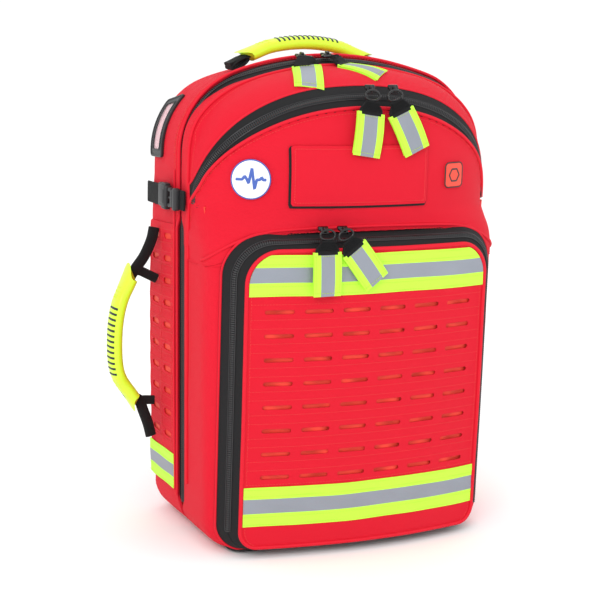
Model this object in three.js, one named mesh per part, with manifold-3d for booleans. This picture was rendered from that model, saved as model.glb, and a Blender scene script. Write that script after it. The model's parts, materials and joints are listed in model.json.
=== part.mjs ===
// A large trauma backpack: a rear shell and a zipped lid with two zipped front pockets, hi-vis bands,
// slotted panels, carrying handles and shoulder straps.
// Millimetres, +Z up, front towards -Y. The origin is on the floor, under the main zip.
import * as THREE from 'three';
import { LoftGeometry } from 'three/addons/geometries/LoftGeometry.js';
import { mergeVertices } from 'three/addons/utils/BufferGeometryUtils.js';
import Module from 'manifold-3d';

const wasm = await Module();
wasm.setup();

// ---- Driving dimensions ----
const GAP = 0.3; // clearance between touching pieces

const HALF_WIDTH = 180; // bag at its shoulders
const FOOT_HALF_WIDTH = 172;
const FOOT_RADIUS = 30;
const FOOT_Z = 10; // underside of the shells, on top of the base board
const SHOULDER_Z = 432; // centre of the shoulder arcs
const SHOULDER_RADIUS = 89;
const CROWN_RADIUS = 370;
const CROWN_OVER_SHOULDER = CROWN_RADIUS - SHOULDER_RADIUS;
const SHOULDER_TURN = Math.acos((HALF_WIDTH - SHOULDER_RADIUS) / CROWN_OVER_SHOULDER);
const CROWN_CENTRE_Z = SHOULDER_Z - CROWN_OVER_SHOULDER * Math.sin(SHOULDER_TURN);
const CROWN_Z = CROWN_CENTRE_Z + CROWN_RADIUS;
const MIDDLE_Z = 270; // centre that the front-view outlines shrink towards

const SHELL_DEPTH = 100; // rear shell behind the main zip
const SHELL_EDGE_RADIUS = 25; // rounding of its rear edges
const SHELL_DROP = 10; // how much lower the crown is at the back
const WALL = 5;
const FRAME_SHEET_Y = 84; // front of the stiffening sheet inside the shell's back
const ZIP_HALF = 6; // half the width of the main zip's two tapes
const MAIN_ZIP_FOOT_Z = 34; // where the main zip ends at the sides

const SIDE_DEPTH = 20; // lid depth at its rounded edge
const DOME_HALF_WIDTH = 177;
const DOME_START_Z = 380; // the lid's front rolls back above this height
const DOME_BLEND = 60; // height over which the boxy lower half becomes the dome
const DOME_POWER = 2.6;
const BOX_POWER = 24;
const DOME_REACH = 85; // depth of the dome in front of SIDE_DEPTH
const BOX_REACH = 75; // depth of the boxy half in front of SIDE_DEPTH
const SKIN = 3; // thickness of the pocket panels and tapes
const DIVIDER_FRONT = 52; // front of the wall between lid and pockets
const DIVIDER_BACK = 48;

const UPPER_SEAM_Z = 357; // bottom seam of the upper pocket
const UPPER_HALF_WIDTH = 182;
const UPPER_RISE = 116; // height of the upper zip's arc over DOME_START_Z
const UPPER_SIDE = 30; // how far in front of the main zip the upper zip runs down the sides
const UPPER_ZIP_GAP = 4.5; // room for the flap's top edge to rise as it swings out
const TAPE = 13; // visible width of one zip tape

const LOWER_HALF_WIDTH = 176;
const LOWER_TOP_Z = 355;
const LOWER_BOTTOM_Z = 11;
const LOWER_BASE = 95; // depth where the lower pocket's gusset starts
const LOWER_CROWN = 125; // depth of its panel at the middle
const LOWER_SIDE_FALL = 22; // how far the panel falls back at its sides
const LOWER_PANEL_HALF = 146;
const GUSSET = 26; // how far the gusset runs in towards the panel
const TOP_CORNER = 45;
const BOTTOM_CORNER = 28;

const SLOT = { width: 32, height: 4, pitchX: 43.4, pitchZ: 26, columns: 6, rows: 8, firstZ: 273.6 };
const SIDE_SLOT = { width: 22, height: 4, pitchY: 36, pitchZ: 25.6, columns: 2, rows: 10, firstZ: 337 };

// ---- Materials ----
function finish(color, roughness, metalness = 0) {
  return new THREE.MeshStandardMaterial({ color, roughness, metalness });
}
const RED_CLOTH = finish(0xd8101c, 0.85);
const RED_LINING = finish(0xe8352a, 0.8);
const ZIP_TAPE = finish(0x25262a, 0.8);
const WEBBING = finish(0x17181a, 0.85);
const REFLECTIVE_TAPE = finish(0xd4f53a, 0.5);
const GRIP_PLASTIC = finish(0xd8ee1e, 0.4);
const BLACK_METAL = finish(0x101113, 0.3, 0.8);
const BLACK_PLASTIC = finish(0x1a1b1d, 0.45);
const CLEAR_FILM = finish(0xe8b8bc, 0.15);
const WHITE_PRINT = finish(0xf2f4f7, 0.5);
const PATCH_RUBBER = finish(0xf2452f, 0.55);
const FOAM_MESH = finish(0x1c1d20, 0.95);
const BOARD = finish(0x3a3c40, 0.6);

// ---- Turning three.js geometry into solids and meshes ----
function signedVolume(positions, triangles) {
  const [a, b, c] = [new THREE.Vector3(), new THREE.Vector3(), new THREE.Vector3()];
  let sum = 0;
  for (let i = 0; i < triangles.length; i += 3) {
    a.fromArray(positions, 3 * triangles[i]);
    b.fromArray(positions, 3 * triangles[i + 1]);
    c.fromArray(positions, 3 * triangles[i + 2]);
    sum += a.dot(b.cross(c));
  }
  return sum / 6;
}

function solid(geometry) {
  const bare = new THREE.BufferGeometry().copy(geometry);
  bare.deleteAttribute('normal');
  bare.deleteAttribute('uv');
  const merged = mergeVertices(bare, 1e-4);
  const vertProperties = merged.attributes.position.array;
  const corners = merged.index.array;
  const kept = [];
  for (let i = 0; i < corners.length; i += 3) {
    const [a, b, c] = corners.slice(i, i + 3);
    if (a !== b && b !== c && c !== a) kept.push(a, b, c);
  }
  if (signedVolume(vertProperties, kept) < 0) kept.reverse();
  return new wasm.Manifold(new wasm.Mesh({ numProp: 3, vertProperties, triVerts: Uint32Array.from(kept) }));
}

function namedMesh(name, body, material) {
  const { vertProperties, triVerts } = body.getMesh();
  const geometry = new THREE.BufferGeometry();
  geometry.setAttribute('position', new THREE.BufferAttribute(vertProperties, 3));
  geometry.setIndex(new THREE.BufferAttribute(triVerts, 1));
  geometry.computeVertexNormals();
  const mesh = new THREE.Mesh(geometry, material);
  mesh.name = name;
  return mesh;
}

// ---- Shapes. Front-view shapes are drawn in x and z, and "forward" is the distance in front of the zip ----
const RING_POINTS = 56;
const DOME_SPREADS = [0.1, 0.4, 0.65, 0.82, 0.92, 0.97, 1]; // closer where the dome turns to the sides
const BULGE_SPREADS = [0.35, 0.7, 1];

function place(x, forward, z) {
  return new THREE.Vector3(x, -forward, z);
}

function edgePoints(shape) {
  return shape.getSpacedPoints(RING_POINTS).slice(1);
}

// A loft whose two ends close on the middle of their sections.
function closedLoft(sections) {
  const apex = (section) => {
    const middle = section.reduce((sum, point) => sum.add(point), new THREE.Vector3()).divideScalar(section.length);
    return section.map(() => middle);
  };
  return solid(new LoftGeometry([apex(sections[0]), ...sections, apex(sections.at(-1))]));
}

// A front-view shape as a solid between two depths.
function prism(shape, backForward, frontForward) {
  const geometry = new THREE.ExtrudeGeometry(shape, {
    depth: frontForward - backForward, bevelEnabled: false, curveSegments: 6,
  });
  geometry.rotateX(Math.PI / 2); // the shape's y becomes z, and its depth runs towards -Y
  geometry.translate(0, -backForward, 0);
  return solid(geometry);
}

// A solid between a flat back and a curved front: depth(x, z) gives how far forward the front is.
function pillow(shape, backForward, depth, centreZ = MIDDLE_Z, spreads = DOME_SPREADS) {
  const edge = edgePoints(shape);
  const layer = (spread, reach) => edge.map((point) => {
    const x = point.x * spread;
    const z = centreZ + (point.y - centreZ) * spread;
    return place(x, reach(x, z), z);
  });
  const sections = [layer(1, () => backForward), ...spreads.toReversed().map((s) => layer(s, depth))];
  return closedLoft(sections);
}

function roundedRectangle(left, right, bottom, top, topRadius, bottomRadius = topRadius) {
  const shape = new THREE.Shape();
  shape.moveTo(left + bottomRadius, bottom);
  shape.absarc(right - bottomRadius, bottom + bottomRadius, bottomRadius, -Math.PI / 2, 0);
  shape.absarc(right - topRadius, top - topRadius, topRadius, 0, Math.PI / 2);
  shape.absarc(left + topRadius, top - topRadius, topRadius, Math.PI / 2, Math.PI);
  shape.absarc(left + bottomRadius, bottom + bottomRadius, bottomRadius, Math.PI, Math.PI * 1.5);
  shape.closePath();
  return shape;
}

// The bag's outline seen from the front, shrunk by inset on every side.
function bagOutline(inset = 0) {
  const footX = FOOT_HALF_WIDTH - FOOT_RADIUS;
  const footZ = FOOT_Z + FOOT_RADIUS;
  const shoulderX = HALF_WIDTH - SHOULDER_RADIUS;
  const shape = new THREE.Shape();
  shape.moveTo(-footX, FOOT_Z + inset);
  shape.absarc(footX, footZ, FOOT_RADIUS - inset, -Math.PI / 2, 0);
  shape.absarc(shoulderX, SHOULDER_Z, SHOULDER_RADIUS - inset, 0, SHOULDER_TURN);
  shape.absarc(0, CROWN_CENTRE_Z, CROWN_RADIUS - inset, SHOULDER_TURN, Math.PI - SHOULDER_TURN);
  shape.absarc(-shoulderX, SHOULDER_Z, SHOULDER_RADIUS - inset, Math.PI - SHOULDER_TURN, Math.PI);
  shape.absarc(-footX, footZ, FOOT_RADIUS - inset, Math.PI, Math.PI * 1.5);
  shape.closePath();
  return shape;
}

// A strip of a rectangular section along a curve that lies in one plane. across is the section's size
// square to that plane, and thick its size in the plane.
function strip(points, across, thick, steps, corner = 0) {
  const [w, h] = [across / 2, thick / 2];
  const section = corner > 0
    ? roundedRectangle(-w, w, -h, h, corner)
    : new THREE.Shape([[-w, -h], [w, -h], [w, h], [-w, h]].map(([x, y]) => new THREE.Vector2(x, y)));
  const extrudePath = new THREE.CatmullRomCurve3(points);
  return solid(new THREE.ExtrudeGeometry(section, { steps, extrudePath, curveSegments: 2 }));
}

function box(lowX, highX, lowY, highY, lowZ, highZ) {
  const geometry = new THREE.BoxGeometry(highX - lowX, highY - lowY, highZ - lowZ);
  geometry.translate((lowX + highX) / 2, (lowY + highY) / 2, (lowZ + highZ) / 2);
  return solid(geometry);
}

// A box on the left side of the bag (side = -1) or its mirror image (side = 1). Distances out from the
// middle are positive.
function sideBox(side, innerX, outerX, lowY, highY, lowZ, highZ) {
  const [a, b] = [side * innerX, side * outerX];
  return box(Math.min(a, b), Math.max(a, b), lowY, highY, lowZ, highZ);
}

// ---- Rear shell ----
// The shell's outside, grown by extra: a loft of the bag's outline whose rear edges are rounded.
function shellOutside(extra = 0, frontForward = -ZIP_HALF - GAP, backY = SHELL_DEPTH + extra) {
  const radius = SHELL_EDGE_RADIUS;
  const stations = [[-extra, -frontForward], [-extra, 45], [-extra, backY - radius]];
  for (let i = 1; i <= 4; i += 1) {
    const turn = (i / 4) * (Math.PI / 2);
    stations.push([radius * (1 - Math.cos(turn)) - extra, backY - radius * (1 - Math.sin(turn))]);
  }
  const sections = stations.map(([inset, y]) => {
    const drop = SHELL_DROP * Math.sin((Math.PI / 2) * Math.max(0, y) / SHELL_DEPTH);
    return edgePoints(bagOutline(inset)).map((point) => place(point.x, -y, point.y - drop * (point.y / CROWN_Z)));
  });
  return closedLoft(sections);
}

function rearShell() {
  const cavity = shellOutside(-WALL, 2, SHELL_DEPTH - WALL);
  return shellOutside().subtract(cavity);
}

// One half of the main zip: an arch-shaped band that stands a little proud of the shells.
function mainZipTape(backForward, frontForward) {
  const band = prism(bagOutline(-2), backForward, frontForward)
    .subtract(prism(bagOutline(8), backForward - 1, frontForward + 1));
  return band.subtract(box(-300, 300, -50, 50, 0, MAIN_ZIP_FOOT_Z));
}

function baseBoard() {
  const shape = roundedRectangle(-146, 146, -92, 92, 28);
  return solid(new THREE.ExtrudeGeometry(shape, { depth: FOOT_Z - GAP, bevelEnabled: false, curveSegments: 6 }));
}

// ---- Side panels: slotted, with a hi-vis band and a strap socket ----
const SIDE_PANEL = { inner: 180 + GAP, outer: 183, frontY: 12, backY: 88, bottomZ: 44, topZ: 352 };

function sidePanel(side) {
  const { inner, outer, frontY, backY, bottomZ, topZ } = SIDE_PANEL;
  let panel = sideBox(side, inner, outer, frontY, backY, bottomZ, topZ);
  for (let row = 0; row < SIDE_SLOT.rows; row += 1) {
    for (let column = 0; column < SIDE_SLOT.columns; column += 1) {
      const y = 32 + column * SIDE_SLOT.pitchY;
      const z = SIDE_SLOT.firstZ - row * SIDE_SLOT.pitchZ;
      const [halfY, halfZ] = [SIDE_SLOT.width / 2, SIDE_SLOT.height / 2];
      panel = panel.subtract(sideBox(side, inner - 1, outer + 1, y - halfY, y + halfY, z - halfZ, z + halfZ));
    }
  }
  return panel;
}

function sideBand(side) {
  const from = SIDE_PANEL.outer + GAP;
  return sideBox(side, from, from + 1.2, 14, 86, 47, 87);
}

// The socket half of the compression strap's buckle, on the webbing sewn to the shell.
function strapSocket(side) {
  const from = SIDE_PANEL.outer + GAP;
  const webbing = sideBox(side, from, from + 3, 30, 92, 370, 392);
  return webbing.add(sideBox(side, from, from + 11, 12, 42, 368, 394));
}

// The prong half of the same buckle, on the webbing sewn to the lid.
function strapProng(side) {
  const from = SIDE_PANEL.outer + GAP;
  const webbing = sideBox(side, from, from + 3, -44, -6, 370, 392);
  return webbing.add(sideBox(side, from, from + 9, -14, 12 - 2 * GAP, 369, 393));
}

// ---- Card holder on the left shoulder ----
// A slanted rectangle seen from the side, given by its half sizes, as a solid that cuts the shell's skin.
function cardCutter(halfLength, halfHeight) {
  const geometry = new THREE.BoxGeometry(120, 2 * halfHeight, 2 * halfLength);
  geometry.rotateX(THREE.MathUtils.degToRad(-38));
  geometry.translate(-HALF_WIDTH, 50, 450);
  return solid(geometry);
}

function shellSheet(from, to) {
  return shellOutside(to, -ZIP_HALF - GAP - 1).subtract(shellOutside(from, -ZIP_HALF));
}

function cardFrame() {
  return shellSheet(GAP, 3).intersect(cardCutter(45, 27).subtract(cardCutter(34, 19)));
}

function cardWindow() {
  return shellSheet(1.6, 2.4).intersect(cardCutter(34 - GAP, 19 - GAP));
}

function idCard() {
  return shellSheet(GAP, 1.2).intersect(cardCutter(32, 17));
}

// ---- Lid ----
function domeDepth(x, z) {
  const rise = Math.max(0, z - DOME_START_Z) / (CROWN_Z - DOME_START_Z);
  const boxy = THREE.MathUtils.smoothstep(DOME_START_Z - z, 0, DOME_BLEND);
  const power = THREE.MathUtils.lerp(DOME_POWER, BOX_POWER, boxy);
  const reach = THREE.MathUtils.lerp(DOME_REACH, BOX_REACH, boxy);
  const inside = 1 - Math.abs(x / DOME_HALF_WIDTH) ** power - rise ** (1.75 * DOME_POWER);
  return SIDE_DEPTH + reach * Math.max(inside, 0) ** (1 / power);
}

function dome(extra = 0) {
  return pillow(bagOutline(0), ZIP_HALF + GAP, (x, z) => domeDepth(x, z) + extra);
}

// The dome moved in by the panels' thickness, so that dome minus core is a skin.
function domeCore(thickness = SKIN) {
  const shrink = 1 - thickness / HALF_WIDTH;
  return pillow(bagOutline(thickness), -WALL, (x, z) => domeDepth(x / shrink, z / shrink) - thickness);
}

// The upper pocket's zone: an arch over its bottom seam, which wraps round to the lid's sides.
function upperZone(grow, seamZ = UPPER_SEAM_Z) {
  const points = [];
  const steps = 32;
  const power = 2 / DOME_POWER;
  for (let i = 0; i <= steps; i += 1) {
    const turn = Math.PI * i / steps;
    const x = (UPPER_HALF_WIDTH + grow) * Math.sign(Math.cos(turn)) * Math.abs(Math.cos(turn)) ** power;
    const z = DOME_START_Z + (UPPER_RISE + grow) * Math.sin(turn) ** power;
    points.push(new THREE.Vector2(x, z));
  }
  points.push(new THREE.Vector2(-UPPER_HALF_WIDTH - grow, seamZ));
  points.push(new THREE.Vector2(UPPER_HALF_WIDTH + grow, seamZ));
  return prism(new THREE.Shape(points), UPPER_SIDE - grow, 2 * LOWER_BASE);
}

function lowerShape(inset) {
  return roundedRectangle(
    -LOWER_HALF_WIDTH + inset, LOWER_HALF_WIDTH - inset, LOWER_BOTTOM_Z + inset / 3, LOWER_TOP_Z - inset * 0.6,
    TOP_CORNER - inset / 2, BOTTOM_CORNER - inset / 2,
  );
}

function lidShell() {
  const front = 2 * LOWER_BASE;
  const mainCavity = prism(bagOutline(WALL), -WALL, DIVIDER_BACK);
  const core = domeCore(SKIN + GAP);
  const skin = dome(2 * SKIN).subtract(core);
  const upperOpening = skin.intersect(upperZone(TAPE - 1 + GAP, UPPER_SEAM_Z - GAP));
  const inFront = box(-HALF_WIDTH, HALF_WIDTH, -front, -DIVIDER_FRONT, 0, CROWN_Z);
  const upperCavity = core.intersect(upperZone(-2 * TAPE)).intersect(inFront);
  const lowerCavity = prism(lowerShape(GUSSET / 2), DIVIDER_FRONT, front);
  const gussetSeat = prism(lowerShape(-GAP), LOWER_BASE, front);
  return dome().subtract(mainCavity).subtract(upperOpening).subtract(upperCavity)
    .subtract(lowerCavity).subtract(gussetSeat);
}

// ---- Upper pocket flap and what is on it ----
function domeSkin() {
  return dome().subtract(domeCore());
}

function upperLidTape() {
  return domeSkin().intersect(upperZone(TAPE - 1).subtract(upperZone(UPPER_ZIP_GAP)));
}

function upperFlapTape() {
  return domeSkin().intersect(upperZone(0).subtract(upperZone(GAP - TAPE)));
}

function upperPanel() {
  return domeSkin().intersect(upperZone(-TAPE));
}

// A flat thing sewn on the dome, cut from a thin layer over it.
function onDome(shape, from, to) {
  return dome(to).subtract(dome(from)).intersect(prism(shape, LOWER_BASE / 2, 2 * LOWER_BASE));
}

function circle(x, z, radius) {
  const shape = new THREE.Shape();
  shape.absarc(x, z, radius, 0, Math.PI * 2);
  return shape;
}

const ID_PANEL = { left: -91, right: 67, bottom: 384, top: 447 };

function idPanel() {
  const { left, right, bottom, top } = ID_PANEL;
  return onDome(roundedRectangle(left, right, bottom, top, 2), 1.6 + GAP, 3.4);
}

function idBacking() {
  const { left, right, bottom, top } = ID_PANEL;
  return onDome(roundedRectangle(left - 2, right, bottom - 2, top, 2), GAP, 1.6);
}

// ---- Lower pocket flap and what is on it ----
function lowerDepth(x) {
  return LOWER_CROWN - LOWER_SIDE_FALL * (x / LOWER_PANEL_HALF) ** 2;
}

// The gusset between two insets, as a frame of tape that runs from the lid's front to the panel.
function gussetBand(from, to) {
  const depthAt = (inset) => (x) => THREE.MathUtils.lerp(LOWER_BASE + GAP, lowerDepth(x), inset / GUSSET);
  const section = (inset) => edgePoints(lowerShape(inset))
    .map((point) => place(point.x, depthAt(inset)(point.x), point.y));
  const through = prism(lowerShape(to), 0, 2 * LOWER_BASE);
  return closedLoft([section(from), section(to)]).subtract(through);
}

function lowerBulge(extra = 0) {
  return pillow(lowerShape(GUSSET + GAP), LOWER_BASE - 5, (x) => lowerDepth(x) + extra, LOWER_TOP_Z / 2, BULGE_SPREADS);
}

function lowerPanel() {
  let panel = lowerBulge().subtract(lowerBulge(-SKIN));
  for (let row = 0; row < SLOT.rows; row += 1) {
    for (let column = 0; column < SLOT.columns; column += 1) {
      const x = (column - (SLOT.columns - 1) / 2) * SLOT.pitchX;
      const z = SLOT.firstZ - row * SLOT.pitchZ;
      const [halfX, halfZ] = [SLOT.width / 2, SLOT.height / 2];
      panel = panel.subtract(box(x - halfX, x + halfX, -2 * LOWER_BASE, -LOWER_BASE, z - halfZ, z + halfZ));
    }
  }
  return panel;
}

function lowerLining() {
  const inner = prism(lowerShape(GUSSET + 4 * SKIN), 0, 2 * LOWER_BASE);
  return lowerBulge(-SKIN - GAP).subtract(lowerBulge(-SKIN - 1.5)).intersect(inner);
}

function lowerBand(bottom, top, topRadius) {
  const shape = roundedRectangle(-LOWER_PANEL_HALF, LOWER_PANEL_HALF, bottom, top, topRadius, 1);
  return lowerBulge(1.6).subtract(lowerBulge(GAP)).intersect(prism(shape, LOWER_BASE / 2, 2 * LOWER_BASE));
}

// ---- Zip sliders and their pulls ----
// A slider is a small wedge of metal; a pull is a neck of webbing and a hi-vis tab, drawn hanging down
// from the pivot, then laid back by tilt and turned by lean.
const SLIDER = { length: 9, width: 11, height: 4.5, clearance: 6.5 }; // clearance to the pull's neck
const PULL = { neckHalf: 8, neckLength: 14, tabHalf: 16, length: 62, thick: 2.4 };

function slider({ pivot, tilt }) {
  const geometry = new THREE.BoxGeometry(SLIDER.length, SLIDER.height, SLIDER.width);
  geometry.translate(0, 0, SLIDER.width / 2 + SLIDER.clearance);
  return solid(geometry.rotateX(tilt).translate(pivot.x, pivot.y, pivot.z));
}

function pull({ pivot, tilt, lean }) {
  const { neckHalf, neckLength, tabHalf, length, thick } = PULL;
  const outline = [
    [-neckHalf, 0], [-neckHalf, -neckLength], [-tabHalf, -neckLength], [-tabHalf, -length],
    [tabHalf, -length], [tabHalf, -neckLength], [neckHalf, -neckLength], [neckHalf, 0],
  ];
  const shape = new THREE.Shape(outline.map(([x, z]) => new THREE.Vector2(x, z)));
  const geometry = new THREE.ExtrudeGeometry(shape, { depth: thick, bevelEnabled: false });
  geometry.rotateX(Math.PI / 2).translate(0, thick / 2, 0);
  geometry.rotateY(lean).rotateX(tilt).translate(pivot.x, pivot.y, pivot.z);
  return solid(geometry);
}

const ZIP_PULLS = {
  main_left: { pivot: place(-41, 12, 539), tilt: -1.5, lean: 0.35, sliderTilt: -1.5 },
  main_right: { pivot: place(-10, 12, 541), tilt: -1.5, lean: -0.75, sliderTilt: -1.5 },
  upper_left: { pivot: place(-2, 104.5, 494), tilt: -0.12, lean: 0.15, sliderTilt: -0.6 },
  upper_right: { pivot: place(26, 104.5, 493), tilt: -0.12, lean: -0.42, sliderTilt: -0.6 },
  lower_left: { pivot: place(-61, 126.5, 349), tilt: -0.05, lean: 0, sliderTilt: -0.95 },
  lower_right: { pivot: place(-39, 128, 349), tilt: -0.03, lean: -0.65, sliderTilt: -0.95 },
};

// ---- Handles: a moulded grip over a band of webbing, on an arch that lies in one plane ----
const GRIP = { across: 26, thick: 15 };

function handle(points, gripPoints, across, thick) {
  const webbing = strip(points, across, thick, 16);
  const tunnel = strip(points, across + 2 * GAP, thick + 2 * GAP, 16);
  const grip = strip(gripPoints, GRIP.across, GRIP.thick, 12, 5).subtract(tunnel);
  return { webbing, grip };
}

function topHandle() {
  const at = (x, z) => new THREE.Vector3(x, 45, z);
  const arch = [at(-92, 533.5), at(-60, 544.5), at(-20, 548.5), at(18, 546), at(47, 540)];
  return handle([at(-110, 523), ...arch, at(72, 533)], arch, 18, 4);
}

function sideHandle() {
  const at = (outward, z) => new THREE.Vector3(-outward, 60, z);
  const arch = [at(216, 283), at(229, 250), at(234, 212), at(229, 174), at(211, 145)];
  return handle([at(190, 337), at(197, 318), ...arch, at(197, 120), at(190, 98)], arch, 10, 8);
}

// ---- Back: pads, shoulder straps and sternum strap ----
function backPad(left, right, bottom, top) {
  const bevel = 4;
  const shape = roundedRectangle(left + bevel, right - bevel, bottom + bevel, top - bevel, 18);
  const geometry = new THREE.ExtrudeGeometry(shape, {
    depth: 8, bevelThickness: bevel, bevelSize: bevel, bevelSegments: 2, curveSegments: 4,
  });
  geometry.rotateX(Math.PI / 2).translate(0, SHELL_DEPTH + GAP + 8 + bevel, 0);
  return solid(geometry);
}

// Points of one shoulder strap's middle line, from its seam under the crown to its buckle.
function strapLine(side) {
  return [[58, 124, 472], [66, 152, 452], [78, 172, 400], [90, 176, 330], [98, 168, 250], [104, 150, 180], [108, 132, 146]]
    .map(([x, y, z]) => new THREE.Vector3(side * x, y, z));
}

function shoulderPad(side) {
  const line = new THREE.CatmullRomCurve3(strapLine(side));
  const [halfWidth, halfThick] = [32, 7];
  const sections = line.getSpacedPoints(20).map((centre, i) => {
    const along = line.getTangentAt(i / 20);
    const out = new THREE.Vector3(1, 0, 0).cross(along).normalize();
    const corners = [[-1, -0.5], [-0.85, -1], [0.85, -1], [1, -0.5], [1, 0.5], [0.85, 1], [-0.85, 1], [-1, 0.5]];
    return corners.map(([across, thick]) => new THREE.Vector3(across * halfWidth, 0, 0)
      .addScaledVector(out, thick * halfThick).add(centre));
  });
  return closedLoft(sections);
}

function ladderLock(side) {
  return sideBox(side, 90, 126, 124, 134, 116, 142);
}

// The adjusting webbing from the shell's foot up to the ladder lock.
function adjusterWebbing(side) {
  return sideBox(side, 96, 120, 118, 121, 30, 134).add(sideBox(side, 96, 120, SHELL_DEPTH + GAP, 120, 26, 34));
}

function sternumStrap(side, reach) {
  const webbing = sideBox(side, reach, 51, 176, 179, 350, 370);
  return webbing.add(sideBox(side, reach, 30, 172, 183, 348, 372));
}

// ---- Assembly ----
const backpack = new THREE.Group();

function add(name, body, material) {
  backpack.add(namedMesh(name, body, material));
}

const SIDES = { left: -1, right: 1 };

add('rear_shell', rearShell(), RED_CLOTH);
add('base_board', baseBoard(), WEBBING);
add('frame_sheet', prism(bagOutline(24), -FRAME_SHEET_Y - 2, -FRAME_SHEET_Y), BOARD);
add('inner_divider', box(-164, 164, 20, FRAME_SHEET_Y - 2, 228, 236), RED_LINING);
add('rear_zip_tape', mainZipTape(-ZIP_HALF, -GAP / 2), ZIP_TAPE);
add('card_frame', cardFrame(), BLACK_PLASTIC);
add('card_window', cardWindow(), CLEAR_FILM);
add('id_card', idCard(), WHITE_PRINT);
add('lumbar_pad', backPad(-120, 120, 60, 200), FOAM_MESH);

for (const [word, side] of Object.entries(SIDES)) {
  add(`side_panel_${word}`, sidePanel(side), RED_CLOTH);
  add(`side_band_${word}`, sideBand(side), REFLECTIVE_TAPE);
  add(`strap_socket_${word}`, strapSocket(side), BLACK_PLASTIC);
  add(`strap_prong_${word}`, strapProng(side), BLACK_PLASTIC);
  add(`back_pad_${word}`, backPad(Math.min(side * 20, side * 130), Math.max(side * 20, side * 130), 214, 480), FOAM_MESH);
  add(`shoulder_pad_${word}`, shoulderPad(side), FOAM_MESH);
  add(`ladder_lock_${word}`, ladderLock(side), BLACK_PLASTIC);
  add(`adjuster_webbing_${word}`, adjusterWebbing(side), WEBBING);
  add(`sternum_strap_${word}`, sternumStrap(side, 4), WEBBING);
}

add('lid_shell', lidShell(), RED_CLOTH);
add('lid_zip_tape', mainZipTape(GAP / 2, ZIP_HALF), ZIP_TAPE);
add('upper_lid_tape', upperLidTape(), ZIP_TAPE);
add('upper_flap_tape', upperFlapTape(), ZIP_TAPE);
add('upper_panel', upperPanel(), RED_CLOTH);
add('badge', onDome(circle(-135, 411, 21.5), GAP, 2.2), WHITE_PRINT);
add('id_backing', idBacking(), ZIP_TAPE);
add('id_panel', idPanel(), RED_CLOTH);
add('maker_patch', onDome(roundedRectangle(94, 120, 398, 426, 5), GAP, 2.4), PATCH_RUBBER);
add('lower_lid_tape', gussetBand(0, GUSSET / 2), ZIP_TAPE);
add('lower_flap_tape', gussetBand(GUSSET / 2 + GAP, GUSSET), ZIP_TAPE);
add('lower_panel', lowerPanel(), RED_CLOTH);
add('lower_lining', lowerLining(), RED_LINING);
add('lower_band_top', lowerBand(290, 336, 18), REFLECTIVE_TAPE);
add('lower_band_bottom', lowerBand(38, 82, 1), REFLECTIVE_TAPE);

for (const [word, { pivot, tilt, lean, sliderTilt }] of Object.entries(ZIP_PULLS)) {
  add(`slider_${word}`, slider({ pivot, tilt: sliderTilt }), BLACK_METAL);
  add(`pull_${word}`, pull({ pivot, tilt, lean }), REFLECTIVE_TAPE);
}

for (const [word, { webbing, grip }] of Object.entries({ top: topHandle(), side: sideHandle() })) {
  add(`${word}_webbing`, webbing, WEBBING);
  add(`${word}_grip`, grip, GRIP_PLASTIC);
}

export default backpack;
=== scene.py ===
"""The looks of the trauma backpack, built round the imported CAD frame.

Lengths are in millimetres and turn into metres when a mesh is made. x and z are the frame's own, and
"forward" is the distance in front of the main zip, so a point's y is -forward.
"""
import json
import math

import bmesh
import bpy
import numpy as np
from mathutils import Matrix, Vector
from mathutils.bvhtree import BVHTree
from mathutils.geometry import delaunay_2d_cdt


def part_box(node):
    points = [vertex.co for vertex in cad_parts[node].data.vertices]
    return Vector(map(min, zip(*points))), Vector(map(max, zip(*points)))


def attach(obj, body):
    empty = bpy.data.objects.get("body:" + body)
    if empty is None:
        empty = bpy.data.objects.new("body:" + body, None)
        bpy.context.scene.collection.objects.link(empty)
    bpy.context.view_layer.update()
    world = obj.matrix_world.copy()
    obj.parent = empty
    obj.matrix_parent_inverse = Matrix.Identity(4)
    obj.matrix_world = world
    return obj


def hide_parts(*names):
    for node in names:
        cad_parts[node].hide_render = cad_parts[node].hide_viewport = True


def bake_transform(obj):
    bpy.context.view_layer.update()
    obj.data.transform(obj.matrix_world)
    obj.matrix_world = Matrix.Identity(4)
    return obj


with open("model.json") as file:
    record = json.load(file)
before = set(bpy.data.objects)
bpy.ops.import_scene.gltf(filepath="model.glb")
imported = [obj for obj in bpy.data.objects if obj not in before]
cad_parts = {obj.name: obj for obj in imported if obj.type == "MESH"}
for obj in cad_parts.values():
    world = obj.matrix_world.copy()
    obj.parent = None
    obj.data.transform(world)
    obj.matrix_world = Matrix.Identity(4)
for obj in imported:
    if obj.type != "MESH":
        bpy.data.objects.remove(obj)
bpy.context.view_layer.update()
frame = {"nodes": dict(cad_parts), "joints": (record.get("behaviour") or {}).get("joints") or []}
MM = 0.001

# ---- The camera, at the photograph's viewing angle ----
CAMERA_PLACE = Vector((-0.7849, -1.6231, 0.6219))
CAMERA_TARGET = Vector((-0.0065, 0.0545, 0.2477))
CAMERA_ROLL = math.radians(1.96)
CAMERA_LENS = 95.9


def make_camera():
    data = bpy.data.cameras.new("camera")
    data.lens = CAMERA_LENS
    data.sensor_width = 36
    camera = bpy.data.objects.new("camera", data)
    bpy.context.collection.objects.link(camera)
    look = (CAMERA_TARGET - CAMERA_PLACE).to_track_quat("-Z", "Y").to_matrix().to_4x4()
    camera.matrix_world = Matrix.Translation(CAMERA_PLACE) @ look @ Matrix.Rotation(CAMERA_ROLL, 4, "Z")
    bpy.context.scene.camera = camera


def area_light(name, place, target, size, power, color=(1, 1, 1)):
    data = bpy.data.lights.new(name, "AREA")
    data.size = size
    data.energy = power
    data.color = color
    light = bpy.data.objects.new(name, data)
    bpy.context.collection.objects.link(light)
    light.location = place
    light.rotation_euler = (Vector(target) - Vector(place)).to_track_quat("-Z", "Y").to_euler()


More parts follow.
